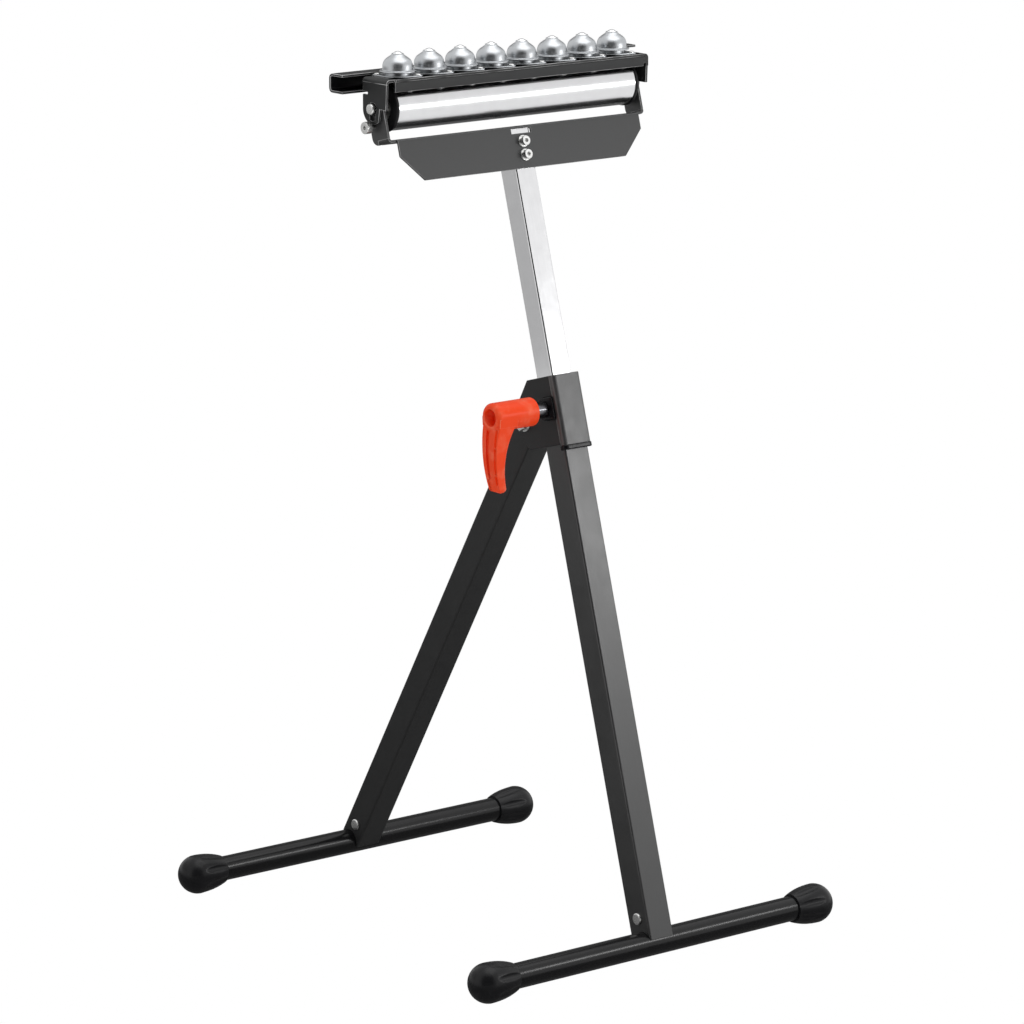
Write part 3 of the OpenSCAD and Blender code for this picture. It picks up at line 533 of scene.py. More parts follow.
class Shade:
    """The nodes of a material or of the world, under construction."""

    COLOUR_A, COLOUR_B, MIXED_COLOUR = 6, 7, 2

    def __init__(self, name: str, kind: str = "materials") -> None:
        """Start a material, or other data with nodes, without any node.

        Args:
            name: Its name.
            kind: The collection that it belongs to.
        """
        self.owner = getattr(bpy.data, kind).new(name)
        self.owner.use_nodes = True
        self.tree = self.owner.node_tree
        self.tree.nodes.clear()

    def node(
        self, kind: str, inputs: dict[str | int, object] | None = None,
        output: str | int = 0, **settings: object,
    ) -> Wire:
        """Add a node.

        Args:
            kind: Type of the node.
            inputs: A wire or a value for each named or numbered socket.
            output: The output that is wanted.
            settings: The node's own settings, set first.

        Returns:
            That output.
        """
        made = self.tree.nodes.new(kind)
        for key, value in settings.items():
            setattr(made, key, value)
        for key, value in (inputs or {}).items():
            if isinstance(value, Wire):
                self.tree.links.new(value.socket, made.inputs[key])
            else:
                made.inputs[key].default_value = value
        return Wire(self, made.outputs[output])

    def place(self, turn: float = 0.0, stretch: Triple = (1, 1, 1)) -> Wire:
        """The object's own coordinates, turned about X and stretched.

        Args:
            turn: Turn about X in radians.
            stretch: Factor along each turned axis.

        Returns:
            The coordinates.
        """
        spot = self.node("ShaderNodeTexCoord", output="Object")
        turned = self.node("ShaderNodeMapping", {"Vector": spot, "Rotation": (turn, 0, 0)})
        return self.node("ShaderNodeVectorMath", {0: turned, 1: stretch}, operation="MULTIPLY")

    def edge(self) -> Wire:
        """The scuff and painted highlight mark: 1 on marked roundings and faces, 0 elsewhere."""
        return self.node("ShaderNodeAttribute", output="Fac", attribute_name=SCUFF_AND_HIGHLIGHT_MARK)

    def noise(self, spot: Wire, scale: float, detail: float = 2.0) -> Wire:
        """Noise between 0 and 1, centred on one half."""
        return self.node("ShaderNodeTexNoise", {"Vector": spot, "Scale": scale, "Detail": detail})

    def tint(self, colour: Sequence[float], level: Wire) -> Wire:
        """A colour made lighter and darker by a level around 1."""
        return self.node("ShaderNodeVectorMath", {0: colour, "Scale": level}, operation="SCALE")

    def blend(self, factor: Wire, one: object, two: object) -> Wire:
        """Mix two colours by a factor."""
        inputs = {0: factor, self.COLOUR_A: one, self.COLOUR_B: two}
        return self.node("ShaderNodeMix", inputs, self.MIXED_COLOUR, data_type="RGBA")

    def mixed(self, factor: Wire, one: Wire, two: Wire) -> Wire:
        """Mix two surfaces by a factor."""
        return self.node("ShaderNodeMixShader", {0: factor, 1: one, 2: two})

    def bump(self, height: Wire, depth: float, strength: float) -> Wire:
        """A normal from a height, with its depth in metres."""
        inputs = {"Height": height, "Distance": depth, "Strength": strength}
        return self.node("ShaderNodeBump", inputs)

    def done(self, **sockets: object) -> bpy.types.Material:
        """Close the material with a Principled shader; underscores stand for spaces."""
        inputs = {key.replace("_", " "): value for key, value in sockets.items()}
        return self.output(self.node("ShaderNodeBsdfPrincipled", inputs))

    def output(self, surface: Wire, kind: str = "ShaderNodeOutputMaterial") -> bpy.types.ID:
        """Send a surface to the output.

        Args:
            surface: The surface.
            kind: Type of the output node.

        Returns:
            The material or the world that holds the nodes.
        """
        end = self.tree.nodes.new(kind)
        self.tree.links.new(surface.socket, end.inputs["Surface"])
        return self.owner


# ---------------------------------------------------------------- finishes


PATCHES = 45.0
RUB_MARKS = 70.0
CLOUDS = 90.0
TUBE_GRAIN = (1, 1, 0.12)


class Slot(Enum):
    """Material slots that a piece takes its finish from."""

    PAINT = "painted_steel"
    BLACK_PAINT = "black_painted_steel"
    BLACK_PLASTIC = "black_plastic"
    ORANGE = "orange_plastic"
    ZINC = "zinc_steel"
    DARK = "dark_steel"
    BRASS = "brass"
    BRIGHT = "bright_steel"


@dataclass(frozen=True)
class Finish(ABC):
    """A surface finish for one slot, with the tone of its material."""

    slot: Slot
    tone: Triple

    @abstractmethod
    def material(self, name: str) -> bpy.types.Material:
        """Make the material."""


@dataclass(frozen=True)
class PowderCoat(Finish):
    """Baked paint on steel: a fine pebbled skin, a little mottled; its edges paler as wear and
    painted highlight.

    turn and stretch lay the pebbles lengthwise on a drawn tube.
    """

    roughness: float = 0.42
    pebble: float = 1300.0
    depth: float = 0.00006
    mottle: float = 0.5
    turn: float = 0.0
    stretch: Triple = (1, 1, 1)
    shine: float = 0.25
    # Grey of the marked edges: partly paint worn through, partly a painted highlight.
    edge_scuff_and_sheen: float = 0.22

    def material(self, name: str) -> bpy.types.Material:
        """Make the paint.

        Args:
            name: Name of the material.

        Returns:
            The material.
        """
        shade = Shade(name)
        spot = shade.place(self.turn, self.stretch)
        fine = shade.noise(spot, self.pebble, detail=3.0)
        broad = shade.noise(shade.place(), PATCHES, detail=3.0)
        level = 1.0 + (fine - 0.5) * self.mottle + (broad - 0.5) * 0.25
        # Paler marked edges in patches: wear and a painted highlight.
        edge_scuff_and_sheen = shade.edge() * broad.above(0.45, width=0.5)
        paint = shade.tint(self.tone, level)
        return shade.done(
            Base_Color=shade.blend(edge_scuff_and_sheen, paint, (self.edge_scuff_and_sheen, self.edge_scuff_and_sheen, self.edge_scuff_and_sheen, 1)),
            Roughness=self.roughness + (broad - 0.5) * 0.12,
            Specular_IOR_Level=self.shine,
            Normal=shade.bump(fine, self.depth, strength=0.6),
        )


@dataclass(frozen=True)
class Moulded(Finish):
    """Moulded plastic with a faint texture, rub marks and a painted highlight on marked edges."""

    # Colour of the rub marks and of the painted highlight on marked edges.
    scuffed_and_highlit: Triple
    roughness: float = 0.35
    grain: float = 900.0
    depth: float = 0.00004
    shine: float = 0.2
    # Strength of the painted highlight on marked edges.
    rim: float = 0.0

    def material(self, name: str) -> bpy.types.Material:
        """Make the plastic.

        Args:
            name: Name of the material.

        Returns:
            The material.
        """
        shade = Shade(name)
        spot = shade.place()
        fine = shade.noise(spot, self.grain, detail=3.0)
        broad = shade.noise(spot, RUB_MARKS, detail=4.0)
        # Rub marks in patches, plus a painted highlight on marked edges.
        scuff_and_highlight = broad.above(0.62, width=0.3) * 0.5 + shade.edge() * self.rim
        return shade.done(
            Base_Color=shade.blend(scuff_and_highlight, (*self.tone, 1), (*self.scuffed_and_highlit, 1)),
            Roughness=self.roughness + (broad - 0.5) * 0.16,
            Specular_IOR_Level=self.shine,
            Normal=shade.bump(fine, self.depth, strength=0.5),
        )


@dataclass(frozen=True)
class BareSteel(Finish):
    """Plated or polished steel with the fine lines of its making.

    turn and stretch lay the lines: they run where the stretch is small.
    """

    roughness: float = 0.25
    lines: float = 1500.0
    depth: float = 0.00001
    uneven: float = 0.12
    turn: float = 0.0
    stretch: Triple = (1, 1, 1)

    def material(self, name: str) -> bpy.types.Material:
        """Make the metal.

        Args:
            name: Name of the material.

        Returns:
            The material.
        """
        shade = Shade(name)
        spot = shade.place(self.turn, self.stretch)
        fine = shade.noise(spot, self.lines, detail=2.0)
        broad = shade.noise(shade.place(), CLOUDS, detail=4.0)
        level = 1.0 + (fine - 0.5) * self.uneven + (broad - 0.5) * 0.1
        return shade.done(
            Base_Color=shade.tint(self.tone, level),
            Metallic=1.0,
            Roughness=self.roughness + (fine - 0.5) * 0.1 + (broad - 0.5) * 0.08,
            Normal=shade.bump(fine, self.depth, strength=0.5),
        )


class Coat(Enum):
    """Every finish on the stand, by use."""

    PAINT = PowderCoat(Slot.PAINT, (0.020, 0.0205, 0.021), edge_scuff_and_sheen=0.45)
    # Deck: a strong painted highlight on its marked edges and along the flange's fold, partly wear.
    DECK = PowderCoat(Slot.PAINT, (0.0165, 0.017, 0.0175), edge_scuff_and_sheen=0.7)
    # Plate: the same paint made lighter, painted light for the lit front plate, with a painted edge
    # highlight.
    PLATE = PowderCoat(Slot.PAINT, (0.028, 0.0285, 0.029), shine=0.6, edge_scuff_and_sheen=0.45)
    POST = PowderCoat(
        Slot.PAINT, (0.011, 0.0112, 0.0115), roughness=0.35, pebble=900.0,
        turn=FRONT_LEAN, stretch=TUBE_GRAIN, shine=0.9,
    )
    LEG = PowderCoat(
        Slot.PAINT, (0.0205, 0.0207, 0.021), pebble=900.0, turn=-LEG_LEAN, stretch=TUBE_GRAIN
    )
    FOOT = PowderCoat(
        Slot.PAINT, (0.006, 0.006, 0.0065), roughness=0.22, depth=0.00002, shine=0.3
    )
    BAR = PowderCoat(
        Slot.BLACK_PAINT, (0.006, 0.006, 0.007), roughness=0.3, depth=0.00003, shine=0.3, edge_scuff_and_sheen=0.5
    )
    CAP = Moulded(
        Slot.BLACK_PLASTIC, (0.008, 0.008, 0.009), scuffed_and_highlit=(0.016, 0.016, 0.017),
        roughness=0.32, shine=0.22,
    )
    COLLAR = Moulded(
        Slot.BLACK_PLASTIC, (0.02, 0.02, 0.0205), scuffed_and_highlit=(0.05, 0.05, 0.051),
        roughness=0.4, grain=1500.0, depth=0.00012, shine=1.0,
    )
    BOSS = Moulded(
        Slot.BLACK_PLASTIC, (0.004, 0.004, 0.005), scuffed_and_highlit=(0.008, 0.008, 0.009), roughness=0.25
    )
    INNER = Moulded(
        Slot.BLACK_PLASTIC, (0.006, 0.006, 0.007), scuffed_and_highlit=(0.012, 0.012, 0.013), roughness=0.5
    )
    # Handle: a lighter orange painted highlight on its marked edges.
    ORANGE = Moulded(
        Slot.ORANGE, (0.95, 0.066, 0.012), scuffed_and_highlit=(1.0, 0.24, 0.13),
        roughness=0.34, depth=0.00002, shine=0.15, rim=0.7,
    )
    ZINC = BareSteel(Slot.ZINC, (0.72, 0.72, 0.71), roughness=0.28)
    MAST = BareSteel(
        Slot.BRIGHT, (0.77, 0.77, 0.78), roughness=0.14, lines=1400.0,
        turn=FRONT_LEAN, stretch=(1, 1, 0.012),
    )
    ROLLER = BareSteel(
        Slot.BRIGHT, (0.67, 0.67, 0.68), roughness=0.22, lines=1600.0,
        depth=0.000001, uneven=0.03, stretch=(1, 0.01, 0.01),
    )
    PRESSED = BareSteel(Slot.BRIGHT, (0.47, 0.485, 0.50), roughness=0.36, lines=500.0)
    BALL = BareSteel(Slot.BRIGHT, (0.85, 0.86, 0.87), roughness=0.1, uneven=0.03)
    STUD = BareSteel(Slot.DARK, (0.16, 0.16, 0.17), lines=700.0)
    BRASS = BareSteel(Slot.BRASS, (0.72, 0.50, 0.22), roughness=0.3)


class Palette:
    """The materials, each made once when it is first asked for."""

    def __init__(self) -> None:
        """Start with none made."""
        self._made: dict[Coat, bpy.types.Material] = {}

    def __getitem__(self, coat: Coat) -> bpy.types.Material:
        """The material of a finish."""
        if coat not in self._made:
            self._made[coat] = coat.value.material(f"{coat.name.lower()}_finish")
        return self._made[coat]


# ---------------------------------------------------------------- places


@dataclass(frozen=True)
class Places:
    """Where each sub-assembly's own axes lie, in millimetres."""

    post: Matrix
    leg: Matrix
    clamp: Matrix
    head: Matrix
    axle: Matrix
    leg_len: float
    foot_up: float = 20.07

    @classmethod
    def read(cls, frame: dict) -> "Places":
        """Take the axes from the joints.

        Args:
            frame: The shared frame, with its joints.

        Returns:
            The places.
        """
        joints = {joint["name"]: joint for joint in frame["joints"]}
        spot = {name: Vector(j["pos_m"]) / MM for name, j in joints.items() if "pos_m" in j}
        up = Vector(joints["mast_slide"]["axis"])
        lean = math.atan2(up.y, up.z)
        clamp, axle, pivot = spot["clamp_turn"], spot["roller_spin"], spot["leg_hinge"]
        clamp.x = axle.x = 0.0
        low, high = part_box("rear_foot_tube")
        foot = (low + high) / 2 / MM
        leg_lean = math.atan2(foot.y - pivot.y, pivot.z - foot.z)
        tilt = Matrix.Rotation(-lean, 4, "X")
        return cls(
            post=Matrix.Translation(clamp - up * (clamp.z / up.z)) @ tilt,
            leg=Matrix.Translation(pivot) @ Matrix.Rotation(leg_lean, 4, "X"),
            clamp=Matrix.Translation(clamp),
            head=Matrix.Translation(axle - up * AXLE_UP) @ tilt,
            axle=Matrix.Translation(axle),
            leg_len=(foot - pivot).length,
        )


# ---------------------------------------------------------------- sub-assemblies


@dataclass
class Assembly(ABC):
    """A sub-assembly, with the pieces it has built and the finish of each."""

    places: Places
    palette: Palette
    body: str = "base"
    dressed: list[tuple[bpy.types.Object, Coat]] = field(default_factory=list, init=False)

    def add(self, name: str, form: Form, coat: Coat, *nodes: str, body: str = "") -> None:
        """Turn a form into a piece on a body.

        Args:
            name: Name of the piece.
            form: Its form, already in place.
            coat: Its finish, which says its material slot.
            nodes: The frame's nodes that it stands for.
            body: The body that it moves with, if not the sub-assembly's own.
        """
        piece = form.to_object(name)
        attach(piece, body or self.body)
        if nodes:
            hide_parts(*nodes)
        self.dressed.append((piece, coat))

    @abstractmethod
    def build(self) -> None:
        """Build the pieces."""

    def dress(self) -> None:
        """Give each piece its material."""
        for piece, coat in self.dressed:
            piece.data.materials.clear()
            piece.data.materials.append(self.palette[coat])


def hexagon(across: float) -> list[Corner]:
    """Corners of a hexagon by its width across flats."""
    return arc((0, 0), across / math.sqrt(3), 0, 300, 5)


def tube_section(inner: float, outer: float, half: float, radius: float = 0.0) -> list[Corner]:
    """Half section of a round tube about its middle; the radius rounds its outer edges."""
    return corners((inner, -half), (outer, -half, radius), (outer, half, radius), (inner, half))


def disc(radius: float, start: float, end: float, *holes: Outline, sides: int = 48) -> Form:
    """A flat disc between two heights, with holes."""
    return Form.plate(Circle(0, 0, radius, sides), start, end, holes=holes)


def hex_nut(across: float, thickness: float, hole: float = 0.0) -> Form:
    """A nut, or a solid hex head without a hole, that stands on the ground plane."""
    holes = [Circle(0, 0, hole, 32)] if hole else []
    return Form.plate(hexagon(across), 0, thickness, holes=holes).softened(0.5, above=25)


def socket_head(radius: float, height: float, across: float, deep: float) -> Form:
    """A round screw head on the ground plane, with a hexagon socket."""
    rim = disc(radius, height - deep, height, hexagon(across))
    return rim.softened(0.35).joined(disc(radius, 0, height - deep))


def round_head(radius: float, height: float, crown: float = 0.0) -> Form:
    """A round head with a rounded edge, a little crowned, on the ground plane."""
    section = corners((0, 0), (radius, 0, 0.2), (radius, height, 0.7 * height), (0, height + crown))
    return Form.turned(section, steps=48)


@dataclass
class Foot(Assembly):
    """One foot: its tube, the two caps and the bolt through the leg's end."""

    end: str = "front"
    y: float = -240.0
    tube_r: float = 12.7
    tube_wall: float = 1.5
    tube_half: float = 200.3
    cap_out: float = 212.3
    cap_r: float = 20.2
    cap_flat: float = 0.4
    tail: float = 30.0
    taper: float = 5.6
    bore_gap: float = 0.05
    bore_end: float = -11.9
    flutes: int = 8
    flute_depth: float = 1.7
    flute_r: float = 6.0
    bolt_up: float = 26.0
    bolt_r: float = 2.95
    bolt_tip: Pair = (-1.0, 6.0)
    bolt_head: Triple = (6.0, 1.8, 0.4)
    nut: Triple = (9.9, 5.0, 3.0)
    leg_half: float = 15.0

    def cap(self) -> Form:
        """A ball that runs into a tapering tail, with leaf shaped flutes.

        Returns:
            The cap, with its axis level, its ball's centre at the origin and its tail to the left.
        """
        tail, bore, low = self.tail, self.tube_r + self.bore_gap, self.bore_end
        egg = (tail**2 + self.taper**2) / (2 * self.taper)
        reach = math.degrees(math.asin(tail / egg))
        section = arc((0, 0), self.cap_r, 90, 0, 30)[:-1]
        section += arc((self.cap_r - egg, 0), egg, 0, -reach, 44)
        section += corners(
            (self.cap_r - self.taper - 0.5, -tail), (bore, -tail), (bore, low), (0, low)
        )
        slope = self.taper / tail
        middle = self.cap_r - egg + math.sqrt(egg**2 - tail**2 / 4)
        floor = self.cap_flat - self.cap_r
        sector = 360 / self.flutes

        def fluted(spot: Vector) -> Vector:
            """Press the flutes into the tail.

            Args:
                spot: A point of the cap, with the axis upright.

            Returns:
                Its place, against the tool if it lies in a flute.
            """
            out = math.hypot(spot.x, spot.y)
            if spot.z > 0.5 or out < bore + 0.1:
                return spot
            turn = math.degrees(math.atan2(spot.y, spot.x)) % sector - sector / 2
            turn = math.radians(turn)
            tool = middle - self.flute_depth + self.flute_r + (spot.z + tail / 2) * slope
            aside = tool * math.sin(turn)
            if abs(aside) < self.flute_r:
                limit = tool * math.cos(turn) - math.sqrt(self.flute_r**2 - aside**2)
                if out > limit:
                    return Vector((spot.x * limit / out, spot.y * limit / out, spot.z))
            return spot

        form = Form.turned(section, steps=192).warped(fluted).placed(Plane.SIDE.value)
        return form.warped(lambda spot: Vector((spot.x, spot.y, max(spot.z, floor))))

    def build(self) -> None:
        """Build the tube, the caps and the bolt."""
        foot = shift(0, self.y, self.cap_r - self.cap_flat)
        section = tube_section(self.tube_r - self.tube_wall, self.tube_r, self.tube_half)
        tube = Form.turned(section, Plane.SIDE, 96, ring=True).placed(foot)
        self.add(f"{self.end}_tube", tube, Coat.FOOT, f"{self.end}_foot_tube")
        for side, name in ((1, "right"), (-1, "left")):
            node = f"{self.end}_cap_{name}"
            cap = self.cap().placed(foot @ mirrored(side) @ shift(self.cap_out))
            self.add(f"{node}_moulding", cap, Coat.CAP, node)
        if self.end == "front":
            place = self.places.post @ shift(z=self.places.foot_up + self.bolt_up)
        else:
            place = self.places.leg @ shift(z=self.bolt_up - self.places.leg_len)
        bolt = round_head(*self.bolt_head).placed(onto(Plane.LEFTWARDS, -self.leg_half))
        tip = disc(self.bolt_r, *self.bolt_tip, sides=32).softened(0.4)
        for part in (hex_nut(*self.nut), tip):
            bolt.joined(part.placed(onto(Plane.SIDE, self.leg_half)))
        self.add(f"{self.end}_bolt", bolt.placed(place), Coat.ZINC, f"{self.end}_foot_bolt")


@dataclass(frozen=True)
class SaddledTube:
    """A square tube whose lower end is cut to sit on a foot tube."""

    width: float
    top: float
    offset: float = 0.0
    window: float = 0.0
    bottom: float = 4.0
    wall: float = 1.2
    corner: float = 2.0
    saddle_r: float = 13.0
    slices: int = 24

    def form(self) -> Form:
        """Shape the tube.

        Returns:
            The tube along Z, with the foot's axis at height 0 and offset ahead of its middle.
        """
        width, bottom = self.width, self.bottom
        outline = rectangle(width, width, self.corner)
        form = Form.strip(outline, bottom, self.top, Plane.TOP, closed=True)
        for i in range(1, self.slices):
            across = (i - self.slices / 2) * width / self.slices
            form.cut((0, across, 0), (0, 1, 0), keep=True)
        if self.window:
            reach, wall = width / 4, 1 - width / 2
            form.sliced((self.window - reach, self.window + reach))
            form.drop(
                lambda spot: spot.x < wall
                and abs(spot.y) < reach
                and abs(spot.z - self.window) < reach
            )
        form.warped(self.arched)
        return form.wall(self.wall, (0, 0, (bottom + self.top) / 2))

    def arched(self, spot: Vector) -> Vector:
        """Lift the lower edge onto the saddle.

        Args:
            spot: A point of the tube.

        Returns:
            Its place.
        """
        if spot.z > self.bottom + 0.01:
            return spot
        inside = self.saddle_r**2 - (spot.y + self.offset) ** 2
        return Vector((spot.x, spot.y, max(self.bottom, math.sqrt(max(inside, 0)))))


@dataclass
class Post(Assembly):
    """The outer post with its collar, the cheeks that carry the leg, and the pivot."""

    width: float = 30.0
    top: float = 588.0
    setback: float = 1.8
    rim: float = 2.8
    rim_front: float = -16.0
    mast_hole: float = 25.7
    collar_drop: float = 71.0
    shield_half: float = 17.6
    shield_front: float = 19.5
    shield_corner: float = 4.6
    shield_back: float = -12.4
    lip_proud: float = 0.9
    clamp_up: float = 559.0
    boss_r: float = 11.2
    boss_out: float = 20.4
    stud_hole: float = 4.3
    cheek_t: float = 2.0
    cheek_drop: float = 66.0
    cheek_top: float = 23.5
    cheek_slope: float = 26.5
    cheek_back: float = 50.0
    cheek_foot: float = 38.7
    pivot: Pair = (38.0, 549.5)
    bolt_hole: float = 4.1
    bolt_r: float = 4.0
    bolt_ends: Pair = (-25.4, 19.0)
    nut_w: float = 13.0
    nut_t: float = 5.6
    nut_hole: float = 4.05
    washer_r: float = 8.4
    washer_t: float = 1.6

    def shield(self, proud: float) -> list[Corner]:
        """Section of the shield, or of a lip that stands proud of it.

        Args:
            proud: How far it stands proud.

        Returns:
            The corners.
        """
        half, front, corner = (
            size + proud for size in (self.shield_half, self.shield_front, self.shield_corner)
        )
        inner, back = self.width / 2, self.shield_back
        return corners(
            (-half, back), (-half, -front, corner), (half, -front, corner), (half, back),
            (inner, back), (inner, -inner), (-inner, -inner), (-inner, back),
        )

    def collar(self) -> Form:
        """The moulded shield and the rim over the post's top.

        Returns:
            The form.
        """
        low, high, half = self.top - self.collar_drop, self.top + self.rim, self.width / 2
        front, hole = self.rim_front, rectangle(self.mast_hole, self.mast_hole, 2)
        outline = corners((-half, front), (half, front), (half, half, 1.5), (-half, half, 1.5))
        rim = Form.plate(outline, self.top, high, holes=[hole]).softened(0.5)
        return Form.plate(self.shield(0), low, high).softened(0.6, steps=3).joined(rim)

    def lip(self) -> Form:
        """The rolled lip round the shield's lower end."""
        low = self.top - self.collar_drop
        return Form.plate(self.shield(self.lip_proud), low - 1.4, low + 3.8).softened(2.3, steps=5)

    def boss_outline(self, back: float, r: float, soft: float = 0.0) -> list[Corner]:
        """Outline of the boss, or of the notch for it, from its straight end.

        Args:
            back: Place of the straight end.
            r: Half its height.
            soft: Radius that rounds the straight end's corners.

        Returns:
            The corners.
        """
        up = self.clamp_up
        return corners(
            (back, up - r, soft), (r, up - r, r), (r, up + r, r), (back, up + r, soft)
        )

    def boss(self) -> Form:
        """The boss round the clamp nut, in the left cheek's notch.

        Returns:
            The form.
        """
        outline = self.boss_outline(self.shield_back - 1, self.boss_r, 1)
        hole = Circle(0, self.clamp_up, self.stud_hole)
        form = Form.plate(outline, -self.boss_out, -self.width / 2, Plane.SIDE, holes=[hole])
        return form.softened(0.9, steps=3)

    def cheek(self, side: int) -> Form:
        """One cheek plate; the left one goes round the boss.

        Args:
            side: 1 for the right one, -1 for the left one.

        Returns:
            The form.
        """
        front, low, high = self.shield_back, self.top - self.cheek_drop, self.top + self.rim
        back = self.cheek_back
        outline = corners(
            (self.cheek_top, high, 1.5), (back, high - self.cheek_slope, 1.5),
            (back, self.pivot[1], 7), (self.cheek_foot, low, 4), (front, low, 1),
        )
        if side < 0:
            outline += self.boss_outline(front, self.boss_r + 0.3)
        outline += corners((front, high, 1))
        start, end = sorted((side * self.width / 2, side * (self.width / 2 + self.cheek_t)))
        hole = Circle(*self.pivot, self.bolt_hole)
        plate = Form.plate(outline, start, end, Plane.SIDE, holes=[hole])
        # Painted highlight on the faces that look forward and to the left, along the cheek's front
        # edge.
        return plate.softened(0.6, scuff_and_highlight=0).scuffed_and_highlit((-0.7, -0.7, 0), 25)

    def build(self) -> None:
        """Build the post, the collar, the cheeks and the pivot's hardware."""
        place, up = self.places.post, self.places.foot_up
        tube = SaddledTube(self.width, self.top - up, self.setback, self.clamp_up - up).form()
        for name, form, coat, *nodes in (
            ("post_tube", tube.placed(shift(z=up)), Coat.POST, "main_post"),
            ("collar_moulding", self.collar(), Coat.COLLAR, "post_collar"),
            ("collar_lip", self.lip(), Coat.BOSS),
            ("clamp_boss", self.boss(), Coat.BOSS),
            ("left_cheek_plate", self.cheek(-1), Coat.PAINT, "left_cheek"),
            ("right_cheek_plate", self.cheek(1), Coat.PAINT, "right_cheek"),
        ):
            self.add(name, form.placed(place), coat, *nodes)
        level = Matrix.Translation((place @ shift(0, *self.pivot)).translation)
        start = self.width / 2 + self.cheek_t
        out, hole, rim = start + self.washer_t, self.bolt_hole, Circle(0, 0, self.washer_r)
        washer = Form.plate(rim, start, out, Plane.SIDE, holes=[Circle(0, 0, hole)])
        nut = hex_nut(self.nut_w, self.nut_t, self.nut_hole).placed(onto(Plane.LEFTWARDS, -out))
        head = hex_nut(self.nut_w, self.nut_t).placed(onto(Plane.SIDE, out))
        r, (left, right) = self.bolt_r, self.bolt_ends
        section = corners((0, left), (r, left, 0.6), (r, right), (0, right))
        bolt = Form.turned(section, Plane.SIDE, 40).joined(head)
        for name, form, node in (
            ("washers", washer.softened(0.3).doubled(), "pivot_washers"),
            ("hinge_nut", nut, "pivot_nut"),
            ("hinge_bolt", bolt, "pivot_bolt"),
        ):
            self.add(name, form.placed(level), Coat.ZINC, node)


@dataclass
class RearLeg(Assembly):
    """The rear leg's tube."""

    body: str = "leg"
    width: float = 29.4
    head: float = 17.06

    def build(self) -> None:
        """Build the tube."""
        reach = self.places.leg_len
        tube = SaddledTube(self.width, reach + self.head).form()
        self.add("leg_tube", tube.placed(self.places.leg @ shift(z=-reach)), Coat.LEG, "rear_leg")


